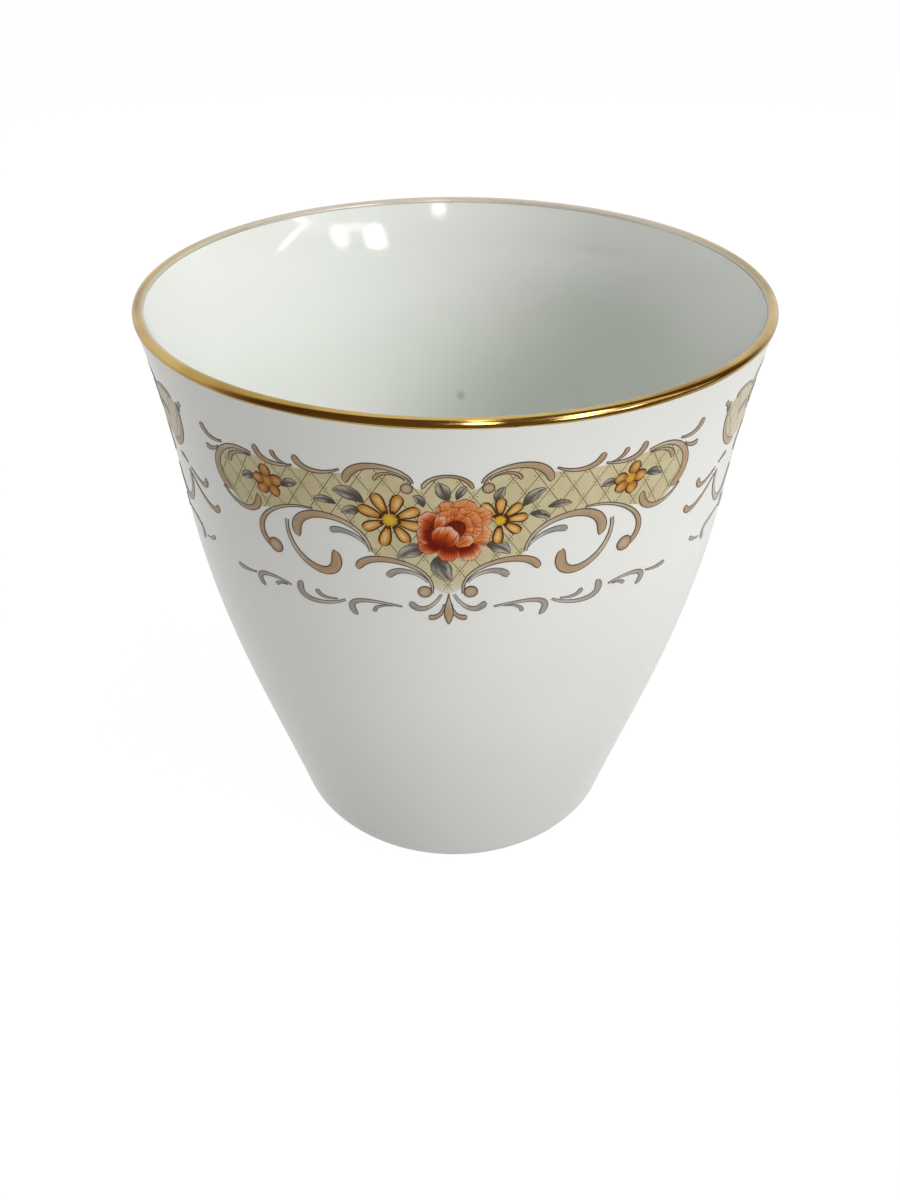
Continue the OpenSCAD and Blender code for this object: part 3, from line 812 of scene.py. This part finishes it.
garlandLook = {
    "full": ink(180, 170, 157), "shade": ink(160, 150, 138), "tail": ink(206, 201, 193),
    "line": ink(106, 98, 90), "lineW": 0.1,
    "hatch": 0.3, "hatchInk": ink(150, 132, 116), "across": 6.0, "along": 0.8,
}
garlandInk = inkMaterial("garlandInk", garlandLook)
mainGarland = [
    [(5.1, -1.4), (8.2, -0.9), (12.6, -0.6), (10.5, -3.5), 0.95],
    [(6.2, -1.4), (7.2, -1.4), (8.5, -1.7), (8.3, -2.6), 0.6],
    [(11.8, -1.5), (13.8, -2.9), (18.9, -3.6), (17.4, -0.3), 1.1],
    [(12.8, -1.6), (13.8, -1.9), (15.3, -1.9), (15.4, -0.9), 0.75],
    [(19, -1.5), (21.6, -0.8), (25.6, -1.2), (23.4, -3.4), 1],
    [(19.6, -1.7), (20.3, -1.6), (21, -1.8), (21.4, -2.3), 0.6],
    [(24.6, -1.8), (25.6, -2.1), (26.6, -2.3), (28.1, -2.1), 0.75],
]
sideGarland = [
    [(1, -1.2), (3.6, -0.4), (8.4, 0), (7.8, -2.8), 1],
    [(8.8, -1.3), (11.6, -2.8), (16.2, -3), (15.2, 0), 1.1],
    [(16.6, -1.2), (19.2, -0.9), (23.8, -0.9), (21.2, -3.5), 1],
    [(23.2, -2.2), (24.2, -2.1), (25.2, -1.7), (25.9, -1), 0.7],
]


def garlandPiece(where, strokes):
    enamel = Enamel()
    for side in (1, -1):
        for mark in strokes:
            layStroke(enamel, mark, garlandLook, layer["scroll"], side)
    enamel.made(where, "garland", garlandInk, "garland_enamel")


# leaves: grey hatched almonds, and grey commas that echo the scrolls

leafLook = {
    "dark": ink(88, 80, 70), "light": ink(188, 180, 166),
    "line": ink(66, 60, 54), "lineW": 0.07,
    "hatch": 0.85, "hatchInk": ink(82, 75, 66), "across": 4.5, "along": 0.9,
}
commaLook = {"full": ink(174, 169, 160), "shade": ink(150, 144, 135), "tail": ink(214, 211, 204)}
leafInk = inkMaterial("greyLeaf", leafLook)
mainLeaves = [
    [(-8.5, 12), (-9.4, 13.1), (-10.6, 13.3), (-11.8, 13.1), 1.7],
    [(-8.9, 10.9), (-9.5, 11.2), (-10.3, 10.9), (-11.1, 10.4), 1.2],
    [(-11.6, 11.4), (-12.4, 11.9), (-13.3, 11.9), (-14.1, 11.5), 1],
    [(-2.4, 12), (-2.5, 12.8), (-2.9, 13.2), (-3.4, 13.3), 1],
    [(0.1, 12.8), (-0.3, 13.6), (-0.6, 14.3), (-0.8, 15), 1.5],
    [(0.9, 12.9), (1.1, 13.6), (1.5, 14.2), (1.9, 14.5), 0.9],
    [(-2.2, 6.5), (-3, 6.8), (-4.3, 6.4), (-5.3, 5.3), 1.8],
    [(-1, 5.8), (-1.1, 4.8), (-0.5, 3.4), (0.4, 2.5), 2.2],
    [(4, 7), (4.8, 7.2), (5.8, 6.7), (6.6, 5.7), 1.6],
    [(7.6, 11.6), (8.1, 12.5), (8.9, 13.2), (9.8, 13.5), 1.35],
    [(10.2, 11.1), (11, 11.4), (12, 11.4), (12.8, 11.1), 0.95],
    [(8.4, 10.5), (9.1, 10.6), (9.9, 10.3), (10.6, 9.7), 1],
    [(4.9, 12.4), (4.9, 13), (5.2, 13.7), (5.6, 14.2), 1.1],
    [(17.8, 12.4), (17.2, 12.7), (16.6, 12.7), (15.9, 12.3), 1.05],
    [(21.4, 12.3), (22.2, 12.6), (23, 12.2), (23.9, 11.6), 1.1],
    [(-17.9, 12.2), (-17.2, 12.8), (-16.5, 13.1), (-15.8, 13), 1.1],
    [(-21.3, 12.3), (-22, 12.5), (-22.8, 12.2), (-23.5, 11.7), 1.1],
]
mainCommas = [
    [(8.4, 6.3), (9.2, 7.7), (11.4, 8.6), (12.7, 7.8), 0.95],
    [(2.1, 2.2), (3.2, 3.8), (5.8, 4.2), (6.5, 2.6), 1],
    [(0.7, 0.6), (1.3, -1), (3.2, -2.6), (4.2, -0.6), 0.95],
]
sideLeaves = [
    [(3.4, 13.6), (4, 14.2), (4.8, 14.6), (5.8, 14.6), 1.1],
    [(9, 12.2), (10, 12.9), (11, 13.2), (12.2, 13), 1.2],
    [(8.8, 10), (9.8, 10), (10.6, 10.3), (11.4, 10.9), 0.9],
    [(2.2, 7.6), (2.8, 6.9), (3.6, 6.5), (4.6, 6.6), 1.1],
    [(17.8, 13.9), (18.8, 14.2), (19.8, 14), (20.8, 13.5), 0.9],
]


def layLeaf(enamel, mark, side):
    curve = mirroredCurve(mark, side)
    grid, edge, t, s, hatch = strokeGrid(curve, mark[4], leafShape, steps=18, cols=11, crowd=1)
    light = smooth(t, 0.15, 0.7) * (0.45 + 0.55 * smooth(np.abs(s), 0.1, 0.6))
    rib = np.exp(-(s / 0.12) ** 2) * smooth(t, 0.05, 0.2)
    fill = mixed(mixed(leafLook["dark"], leafLook["light"], light), leafLook["line"], 0.7 * rib)
    enamel.lay(grid, layer["leaf"], fill, edge, hatch)


def leafPiece(where, leaves, commas, sides):
    enamel = Enamel()
    for side in sides:
        for mark in leaves:
            layLeaf(enamel, mark, side)
    for side in (1, -1):
        for mark in commas:
            layStroke(enamel, mark, commaLook, layer["comma"], side, hatchOn=0.4)
    enamel.made(where, "leaves", leafInk, "grey_enamel")


# daisies and blossoms: outlined petals round a yellow eye

daisyLook = {
    "full": ink(206, 142, 58), "pale": ink(238, 206, 138), "deep": ink(140, 80, 22),
    "eye": ink(224, 188, 58), "eyeRim": ink(200, 150, 38), "dots": ink(66, 42, 20),
    "line": ink(78, 46, 18), "lineW": 0.18,
    "hatch": 0.45, "hatchInk": ink(176, 112, 42), "across": 5.0, "along": 0.4,
}
blossomLook = dict(
    daisyLook, full=ink(188, 122, 64), pale=ink(212, 162, 106), deep=ink(134, 72, 30),
    eye=ink(206, 152, 72), eyeRim=ink(170, 112, 44), line=ink(84, 46, 20))
goldBlossomLook = dict(
    daisyLook, full=ink(192, 130, 54), pale=ink(222, 180, 112), eye=ink(212, 172, 60))
daisyInk = inkMaterial("ochrePetal", daisyLook)
blossomInk = inkMaterial("amberPetal", blossomLook)
flowerForm = {"dotR": 0.2, "frills": 9}     # radius of the dots round the eye, and the waves of its edge


def layFlower(enamel, flower, form):
    look, eye, start = flower["look"], flower["eye"], flower["start"]
    middle, wide = np.array(flower["middle"]), flower["width"]
    for n, turn in enumerate(flower["turns"]):
        way, off = headingOf(turn)
        reach = flower["outer"] * (1 + 0.04 * math.sin(2.7 * n + 1))
        curve = [middle + way * (start + (reach - start) * k) for k in (0, 1 / 3, 2 / 3, 1)]
        curve[2] = curve[2] + 0.12 * wide * math.sin(1.9 * n) * off
        grid, edge, t, s, hatch = strokeGrid(curve, wide * (1 + 0.06 * math.sin(3.1 * n)), form, 18, 9)
        glow = np.exp(-((s + 0.1) / 0.42) ** 2) * smooth(t, 0.2, 0.55) * (1 - smooth(t, 0.72, 0.95))
        fill = mixed(look["full"], look["pale"], 0.95 * glow)
        fill = mixed(fill, look["deep"], 0.5 * (1 - smooth(t, 0.05, 0.4)) + 0.3 * smooth(s, 0.2, 1))
        enamel.lay(grid, layer["daisy"] + layer["petalStep"] * (n % 3), np.clip(fill, 0, 1), edge, hatch)
        if form is petalShape:
            grid, edge, _, hatch = discGrid(middle + 1.35 * eye * way, flowerForm["dotR"], 5)
            enamel.lay(grid, layer["dot"], look["dots"], edge, hatch, 0)
    _, edge, far, hatch = discGrid(middle, eye, 11)
    frill = 1 + 0.12 * np.sin(flowerForm["frills"] * np.arctan2(hatch[..., 1], hatch[..., 0]))
    fill = mixed(look["eye"], look["eyeRim"], smooth(far, 0.5, 1))
    # the eye has no outline, so its distance from the edge is set beyond any line's width
    enamel.lay(middle + hatch * frill[..., None], layer["eye"], fill, edge + 1, hatch, 0.3)


daisies = [
    {"middle": (-5.9, 10.2), "turns": [116, 68, 26, -13, -58, -104, -153, 158],
     "start": 0.55, "outer": 3.4, "width": 1.62, "eye": 0.76, "look": daisyLook},
    {"middle": (5.3, 10.1), "turns": [130, 88, 42, 5, -40, -93],
     "start": 0.45, "outer": 2.85, "width": 1.42, "eye": 0.6, "look": daisyLook},
]
blossoms = [
    {"middle": (-19.7, 12.3), "turns": [95, 13, -50, -125, 175],
     "start": 0.45, "outer": 2.0, "width": 1.55, "eye": 0.55, "look": blossomLook},
    {"middle": (19.4, 12.4), "turns": [75, 165, 222, -70, -3],
     "start": 0.45, "outer": 2.0, "width": 1.55, "eye": 0.55, "look": goldBlossomLook},
]
sideBud = {"turns": range(36, 396, 72),
           "start": 0.5, "outer": 2.4, "width": 1.8, "eye": 0.65, "look": blossomLook}
sideFan = {"turns": range(18, 378, 72),
           "start": 0.4, "outer": 1.8, "width": 1.4, "eye": 0.57, "look": blossomLook}
sideFlowers = [
    {"middle": (0, 11.4), "turns": range(20, 380, 40),
     "start": 0.6, "outer": 3.5, "width": 1.7, "eye": 0.82, "look": daisyLook},
    dict(sideBud, middle=(6.6, 11.4)), dict(sideFan, middle=(15.6, 13.9)),
    dict(sideBud, middle=(-6.6, 11.4)), dict(sideFan, middle=(-15.6, 13.9)),
]


def flowerPiece(where, kind, flowers, material, slot, form=petalShape):
    enamel = Enamel()
    for flower in flowers:
        layFlower(enamel, flower, form)
    enamel.made(where, kind, material, slot)


# the rose: overlapping petals, dark at the base and pale at the rim, with fine brush hatching

roseLook = {
    "base": ink(104, 18, 3), "full": ink(222, 94, 24), "soft": ink(230, 146, 72), "rim": ink(240, 206, 172),
    "heart": ink(104, 30, 8), "line": ink(116, 46, 18), "lineW": 0.07,
    "hatch": 0.7, "hatchInk": ink(142, 40, 8), "across": 8.0, "along": 0.5,
}
roseInk = inkMaterial("coralRose", roseLook)
# the rose's middle on the panel; from there its heart, and the radii of its ground and heart
roseMid = np.array([0.7, 9.1])
roseForm = {"heart": (0.15, 0.3), "heartR": 1.05, "groundR": 2.9}
# each petal, from the rose's middle: base point, heading, length, width,
# share of pale rim, share of dark base
roseBack = [
    [(-0.5, 1.5), 100, 2.2, 2.2, 0.35, 0.35],
    [(0.7, 1.5), 76, 2.4, 2.6, 0.3, 0.15],
    [(1.5, 1.2), 12, 2.35, 2.8, 0.5, 0.2],
    [(1.3, -0.5), -14, 2.55, 2.9, 0.65, 0.25],
    [(0.9, -1.7), -62, 2.4, 2.7, 0.85, 1.4],
    [(-0.5, -1.7), -96, 2.3, 2.3, 0.2, 1.6],
    [(-1.6, -1.3), -150, 2.4, 2.3, 0.25, 1.8],
    [(-2, -0.5), 180, 1.9, 2.4, 0.5, 1.8],
    [(-1.8, 0.5), 138, 2.2, 2.3, 0.75, 1.1],
]
roseMiddle = [
    [(-0.7, 0.9), 112, 1.7, 1.9, 0.25, 0.5],
    [(0.2, 1.1), 78, 1.9, 2.4, 0.3, 0.35],
    [(0.9, 0.9), 30, 1.9, 2.4, 0.3, 0.3],
    [(0.9, 0.3), -16, 2.0, 2.5, 0.45, 0.4],
    [(0.1, 0.8), 94, 1.2, 2.0, 0.35, 0.6],
    [(0.5, 0.7), 46, 1.4, 2.0, 0.3, 0.5],
    [(0.6, 0.3), 0, 1.4, 1.9, 0.4, 0.6],
]
roseFront = [
    [(-1.9, 0.1), 66, 2.0, 1.1, 1.0, 0.6],
    [(0.2, -1.9), 30, 2.0, 1.4, 1.0, 0.3],
    [(-1.6, -2.1), 64, 2.9, 2.9, 0.9, 1.0],
]


def petalGrid(petal, rows=14, cols=15):
    base, turn, length, width = petal[:4]
    way, off = headingOf(turn)
    t = np.linspace(0, 1, rows)[:, None]
    s = np.linspace(-1, 1, cols)[None, :]
    bow = s * math.pi / 2 * 0.97
    frill = 0.035 * np.sin(3.2 * math.pi * s + turn)
    along = length * (0.5 + 0.5 * np.cos(bow) + frill) * t
    across = width / 2 * np.sin(bow) * (0.35 + 0.65 * np.sin(t * math.pi / 2))
    grid = roseMid + np.array(base) + along[..., None] * way + across[..., None] * off
    edge = np.minimum((1 - t) * length, (1 - np.abs(s)) * width * 0.6)
    return grid, edge, t + 0 * s, np.stack([across, along], -1)


def layRosePetal(enamel, petal, lift):
    grid, edge, t, hatch = petalGrid(petal)
    pale, dark = petal[4:]
    fill = mixed(roseLook["soft"], roseLook["full"], min(dark, 1) + 0 * t)
    fill = mixed(fill, roseLook["rim"], pale * smooth(t, 0.55, 1.0))
    fill = mixed(fill, roseLook["base"], np.minimum(dark * (1 - smooth(t, 0.1, 0.6 + 0.2 * dark)), 1))
    enamel.lay(grid, lift, fill, edge, hatch)


def rosePiece(where):
    enamel = Enamel()
    lift = layer["rose"]
    grid, edge, _, hatch = discGrid(roseMid, roseForm["groundR"], 11)
    shade = smooth(hatch[..., 0] + 0.6 * hatch[..., 1], -1.2, 0.6)
    enamel.lay(grid, lift, mixed(roseLook["base"], roseLook["full"], shade), edge, hatch)
    for petal in roseBack + roseMiddle:
        lift += layer["roseStep"]
        layRosePetal(enamel, petal, lift)
    lift += layer["roseStep"]
    grid, edge, far, hatch = discGrid(roseMid + roseForm["heart"], roseForm["heartR"], 11)
    enamel.lay(grid, lift, mixed(roseLook["heart"], roseLook["base"], smooth(far, 0.55, 1)), edge, hatch)
    for petal in roseFront:
        lift += layer["roseStep"]
        layRosePetal(enamel, petal, lift)
    enamel.made(where, "rose", roseInk, "rose_enamel")


# trellis ground: cream enamel with a fine diagonal lattice

groundLook = {
    "cream": ink(214, 202, 164), "olive": ink(198, 184, 140), "fade": bareWhite,
    "lattice": ink(118, 103, 66), "latticeW": 0.085, "pitch": 2.11, "lean": 56, "tick": 0.3, "tickR": 0.1,
}
# outlines of the right half, as a chain of curves: a start, then three points for each curve
mainGround = [
    (0, 15.7),
    (1, 15.7), (2, 15.1), (2.5, 14.2),
    (2.8, 14), (3.3, 14.2), (3.6, 14.9),
    (3.9, 16.6), (9.3, 17.8), (10.3, 15.4),
    (13, 14.8), (18, 14.8), (21.2, 15.1),
    (25.8, 16.4), (29.5, 11.1), (26, 9.2),
    (25, 7), (22.2, 7), (21.4, 8.5),
    (20.6, 8.6), (19.4, 9.2), (17.4, 9.9),
    (16, 10.3), (14.6, 10.2), (13.2, 9.9),
    (11.4, 9.9), (9.2, 8.8), (8.2, 5.9),
    (7.9, 5.3), (7.4, 5.1), (6.8, 5.1),
    (4.6, 4.9), (1.6, 4), (1.5, 1.6),
    (1.2, 1.1), (0.6, 0.8), (0, 0.7),
]
sideGround = [
    (0, 16.6),
    (3, 17.2), (6, 16.8), (8.6, 15.5),
    (12, 17.2), (18, 16.8), (22, 16.6),
    (23.6, 16.6), (24.4, 16.4), (24.7, 15.6),
    (24.6, 12.8), (23.3, 10.6), (20.4, 10),
    (17, 9.9), (11, 11), (8.2, 7.2),
    (5.4, 6.6), (1.6, 5), (0, 2.2),
]


def trellisMaterial():
    look = groundLook
    material, tree, shader = newTree("creamTrellis")
    tint = attributeOf(tree, "tint", "Color")
    at = put(tree, "ShaderNodeSeparateXYZ", Vector=attributeOf(tree, "drawnAt", "Vector")).outputs
    place = placeOf(tree)
    lean = math.radians(look["lean"])
    away = []
    for way in (1, -1):
        run = times(tree, at["X"], math.sin(lean) / look["pitch"])
        run = sums(tree, "MULTIPLY_ADD", at["Y"], way * math.cos(lean) / look["pitch"], run)
        part = sums(tree, "SUBTRACT", sums(tree, "FRACT", run), 0.5)
        away.append(times(tree, sums(tree, "ABSOLUTE", part), look["pitch"]))
    nearest = sums(tree, "MINIMUM", *away)
    uneven = sums(tree, "MULTIPLY_ADD", noiseOf(tree, place, "latticeWidth", 1.0), 0.8, 0.6)
    wide = times(tree, uneven, look["latticeW"])
    line = ramped(tree, nearest, times(tree, wide, 0.35), wide, 1.0, 0.0)
    dx, dy = [sums(tree, "SUBTRACT", a, look["tick"]) for a in away]
    apart = sums(tree, "SQRT", sums(tree, "ADD", times(tree, dx, dx), times(tree, dy, dy)))
    tick = ramped(tree, apart, look["tickR"] * 0.5, look["tickR"] * 1.2, 0.8, 0.0)
    lattice = sums(tree, "MAXIMUM", times(tree, line, 0.85), tick)
    lattice = times(tree, lattice, ramped(tree, attributeOf(tree, "edge"), 0.0, 0.6))
    mottled = times(tree, ramped(tree, noiseOf(tree, place, "mottle"), 0.35, 0.7), 0.5)
    olive = blended(tree, 1.0, tint, look["olive"] / look["cream"], "MULTIPLY")
    body = blended(tree, lattice, blended(tree, mottled, tint, olive), look["lattice"])
    grain = noiseOf(tree, place, "groundGrain", 2.0)
    setEnamel(tree, shader, body, ramped(tree, grain, 0.3, 0.7, 0.18, 0.3), grain, 0.08)
    return material


trellisInk = trellisMaterial()


def trellisPiece(where, ground, fadeLow, fadeHigh):
    # columns across the panel, each running from the lower edge to the upper one
    t = np.linspace(0, 1, 40)
    run = np.concatenate([bez(ground[n:n + 4], t) for n in range(0, len(ground) - 1, 3)])
    far = int(np.argmax(run[:, 0]))
    top, low = run[:far + 1], run[far:][::-1]
    reach = run[far, 0] - 0.02
    point = reach - np.linspace(0, 1.2, 16) ** 2 * 0.7      # finer steps towards the ends
    half = np.unique(np.concatenate([np.linspace(0, reach, 150), point]))
    u = np.concatenate([-half[:0:-1], half])
    bottom = np.interp(np.abs(u), low[:, 0], low[:, 1])
    tall = np.maximum(np.interp(np.abs(u), top[:, 0], top[:, 1]) - bottom, 0.02)
    v = bottom[:, None] + tall[:, None] * np.linspace(0, 1, 25)
    grid = np.stack([np.broadcast_to(u[:, None], v.shape), v], -1)
    fade = smooth(v, fadeLow, fadeHigh)
    enamel = Enamel()
    enamel.lay(grid, layer["ground"], mixed(groundLook["fade"], groundLook["cream"], fade), fade, grid)
    enamel.made(where, "trellis", trellisInk, "cream_enamel")


for where in ("front", "back"):
    trellisPiece(where, mainGround, 0.6, 2.6)
    scrollPiece(where, mainScrolls, mainKnobs, mainArch, mainStem)
    rosePiece(where)
    flowerPiece(where, "daisies", daisies, daisyInk, "ochre_enamel")
    flowerPiece(where, "blossoms", blossoms, blossomInk, "blossom_enamel", roundPetal)
    leafPiece(where, mainLeaves, mainCommas, (1,))
    garlandPiece(where, mainGarland)
for where in ("left", "right"):
    trellisPiece(where, sideGround, 2.4, 6.0)
    scrollPiece(where, sideScrolls, sideKnobs)
    flowerPiece(where, "flowers", sideFlowers, daisyInk, "ochre_enamel")
    leafPiece(where, sideLeaves, [], (1, -1))
    garlandPiece(where, sideGarland)
print("enamel panels made")


# floor, world, lamps and camera

stageLook = {
    "floor": ink(178, 177, 174), "shadowShown": 0.08, "glossWhite": 0.6, "floorReach": 3.0,
    "room": 0.2,                # light from all round
    "card": (0.14, 0.088, 0.036),    # the studio's dark side, which only the gloss shows
    "white": 1.0, "floorWhite": 1.07,
}
# the room's dark side as the gloss shows it: turns from the front and heights over the lip, in degrees
darkSide = {"turns": (-90, 132), "fade": 24, "heights": (-10, 90), "far": 0.45,
            "floorTurns": (-90, 84), "floor": (0.14, 0.44)}
# a narrow ceiling light over the dark side, four corners in m
ceilingLight = {"glow": 6.0, "corners": [(0.02, 0.02, 0.44), (0.036, 0.02, 0.44),
                                         (0.055, -0.25, 0.44), (0.039, -0.25, 0.44)]}


def wayOf(turn, height):
    a, e = math.radians(turn), math.radians(height)
    return Vector((math.sin(a) * math.cos(e), -math.cos(a) * math.cos(e), math.sin(e)))


def mixShaders(tree, share, first, second, surface):
    mix = put(tree, "ShaderNodeMixShader")
    plug(tree, plugAll(tree, mix, share, first.outputs[0], second.outputs[0])[0], surface)


def shownRays(tree, onCamera=1.0, onGloss=1.0):
    # how far the white background shows on the rays of the camera, and of gloss and glass
    path = put(tree, "ShaderNodeLightPath").outputs
    gloss = sums(tree, "MAXIMUM", path["Is Glossy Ray"], path["Is Transmission Ray"])
    seen = times(tree, path["Is Camera Ray"], onCamera)
    return sums(tree, "MAXIMUM", seen, times(tree, gloss, onGloss))


def makeFloor():
    mesh = bpy.data.meshes.new("floor")
    r = stageLook["floorReach"]
    mesh.from_pydata([(-r, -r, 0), (r, -r, 0), (r, r, 0), (-r, r, 0)], [], [(0, 1, 2, 3)])
    material, tree, surface = bareTree("paleFloor")
    diffuse = put(tree, "ShaderNodeBsdfDiffuse", Color=stageLook["floor"])
    glow = put(tree, "ShaderNodeEmission", Color=(1, 1, 1, 1), Strength=stageLook["floorWhite"])
    share = shownRays(tree, 1 - stageLook["shadowShown"], stageLook["glossWhite"])
    mixShaders(tree, share, diffuse, glow, surface)
    mesh.materials.append(material)
    linkObject("floor", mesh)


def makeWorld():
    world = bpy.data.worlds.new("studio")
    bpy.context.scene.world = world
    world.use_nodes = True
    tree = world.node_tree
    tree.nodes.clear()
    surface = tree.nodes.new("ShaderNodeOutputWorld").inputs["Surface"]
    room = put(tree, "ShaderNodeBackground", Color=(1, 1, 0.99, 1), Strength=stageLook["room"])
    white = put(tree, "ShaderNodeBackground", Color=(1, 1, 1, 1), Strength=stageLook["white"])
    mixShaders(tree, shownRays(tree), room, white, surface)


def makeCards(name, quads, shown, glow, tone=(1, 1, 1)):
    # cards that only the gloss shows; the shares in shown let their edges fade
    mesh = bpy.data.meshes.new(name)
    corners = [p for quad in quads for p in quad]
    mesh.from_pydata(corners, [], [tuple(range(4 * n, 4 * n + 4)) for n in range(len(quads))])
    mesh.attributes.new("shown", "FLOAT", "POINT").data.foreach_set("value", shown)
    material, tree, surface = bareTree(name)
    light = put(tree, "ShaderNodeEmission", Color=(*tone, 1), Strength=glow)
    mixShaders(tree, attributeOf(tree, "shown"), put(tree, "ShaderNodeBsdfTransparent"), light, surface)
    mesh.materials.append(material)
    cards = linkObject(name, mesh)
    cards.visible_camera = False
    cards.visible_diffuse = False
    cards.visible_transmission = False
    cards.visible_shadow = False


def sheetOf(spot, share, across, up):
    # small quads over a sheet, with how far each corner shows
    quads, shown = [], []
    for a, b in zip(across[:-1], across[1:]):
        for low, high in zip(up[:-1], up[1:]):
            ends = [(a, low), (b, low), (b, high), (a, high)]
            quads.append([spot(*end) for end in ends])
            shown.extend(share(*end) for end in ends)
    return quads, shown


def makeDarkSide():
    # a part of a dome round the lip, and a part of a ring on the floor, both fading at their ends
    def fading(ends):
        return lambda turn, _: float(smooth(min(turn - ends[0], ends[1] - turn), 0, darkSide["fade"]))

    def onDome(turn, height):
        return Vector((0, 0, cupH * mm)) + darkSide["far"] * wayOf(turn, height)

    def onFloor(turn, reach):
        return Vector((0, 0, 0.001)) + reach * wayOf(turn, 0)

    turns, floorTurns = darkSide["turns"], darkSide["floorTurns"]
    dome = sheetOf(onDome, fading(turns), np.linspace(*turns, 38), np.linspace(*darkSide["heights"], 9))
    ring = sheetOf(onFloor, fading(floorTurns), np.linspace(*floorTurns, 30), darkSide["floor"])
    makeCards("darkSide", dome[0] + ring[0], dome[1] + ring[1], 1.0, stageLook["card"])


# window panes as the gloss shows them: the point of the wall or lip that mirrors them, in mm,
# then corners as turn and height in degrees; their distance from there is in m
paneForm = {"far": 0.28, "fade": (0.55, 1.0), "steps": 17}
panes = {
    "wide": {"from": (-14, 34, 79), "glow": 13.0, "corners": [(29, 4), (40, 3), (43, 14), (33, 16)]},
    "bridge": {"from": (-16, 33, 80), "glow": 5.0, "corners": [(39, 11), (51, 10), (50, 14.5), (40, 15)]},
    "narrow": {"from": (-19, 32, 80), "glow": 7.0, "corners": [(47, 4), (55, 5), (58, 14.5), (47, 15.5)]},
    "edge": {"from": (-24, 28, 81), "glow": 6.0, "corners": [(60, 17), (64, 17), (85, 4), (79, 4)]},
    "spark": {"from": (-3, 37, 83), "glow": 14.0, "corners": [(3.5, 14), (12, 13), (13, 40), (5, 40)]},
    "high": {"from": (12, -37, 84), "glow": 8.0, "corners": [(36, 23), (59, 23), (72, 52), (48, 52)]},
    "side": {"from": (18, -34, 84), "glow": 1.2, "corners": [(58, 8), (84, 8), (92, 42), (66, 42)]},
}


def makePane(name, pane):
    # a patch between the four corners, rounded off and fading towards its edge
    start = Vector(pane["from"]) * mm
    a, b, c, d = [start + paneForm["far"] * wayOf(*corner) for corner in pane["corners"]]

    def spot(s, t):
        return a.lerp(b, (1 + s) / 2).lerp(d.lerp(c, (1 + s) / 2), (1 + t) / 2)

    def share(s, t):
        return 1 - float(smooth((abs(s) ** 3 + abs(t) ** 3) ** (1 / 3), *paneForm["fade"]))

    steps = np.linspace(-1, 1, paneForm["steps"])
    makeCards(name + "Pane", *sheetOf(spot, share, steps, steps), pane["glow"])


# turn from the front and height in degrees, power in W; distance, width and aim in m
lampForm = {"far": 0.65, "wide": 0.28, "aim": (0, 0, 0.05)}
lamps = {
    "window": {"turn": 60, "height": 40, "tall": 0.28, "power": 1.4},
    "pane": {"turn": 45, "height": 27, "tall": 0.28, "power": 1.3},
    "skylight": {"turn": 110, "height": 65, "tall": 0.28, "power": 1.2},
    "fill": {"turn": -50, "height": 2, "tall": 0.28, "power": 0.84},
    "front": {"turn": 5, "height": 1, "tall": 0.1, "power": 0.15},
    "backFill": {"turn": -120, "height": 14, "tall": 0.28, "power": 0.85},
    "back": {"turn": 180, "height": 2, "tall": 0.1, "power": 0.5},
}


def makeLamp(name, look):
    data = bpy.data.lights.new(name, "AREA")
    data.shape = "RECTANGLE"
    data.size, data.size_y = lampForm["wide"], look["tall"]
    data.energy = look["power"]
    lamp = linkObject(name, data)
    lamp.visible_glossy = False         # the panes and cards are what the gloss shows
    way = wayOf(look["turn"], look["height"])
    lamp.location = Vector(lampForm["aim"]) + lampForm["far"] * way
    lamp.rotation_euler = (-way).to_track_quat("-Z", "Y").to_euler()


def makeCamera():
    view = {"out": 116.5, "height": 122.9, "pitch": 37.52, "round": 1.0, "yaw": 1.3, "lens": 27.87}
    data = bpy.data.cameras.new("camera")
    data.sensor_width = 36
    data.lens = view["lens"]
    data.clip_start = 0.005
    camera = linkObject("camera", data)
    a = math.radians(view["round"])
    camera.location = (view["out"] * math.sin(a) * mm, -view["out"] * math.cos(a) * mm, view["height"] * mm)
    camera.rotation_euler = (math.radians(90 - view["pitch"]), 0, math.radians(view["yaw"]))
    bpy.context.scene.camera = camera


makeFloor()
makeDarkSide()
makeCards("ceilingLight", [ceilingLight["corners"]], [1.0] * 4, ceilingLight["glow"])
for name, pane in panes.items():
    makePane(name, pane)
makeWorld()
for name, look in lamps.items():
    makeLamp(name, look)
makeCamera()
bpy.context.scene.view_settings.view_transform = "Standard"
print("stage made")
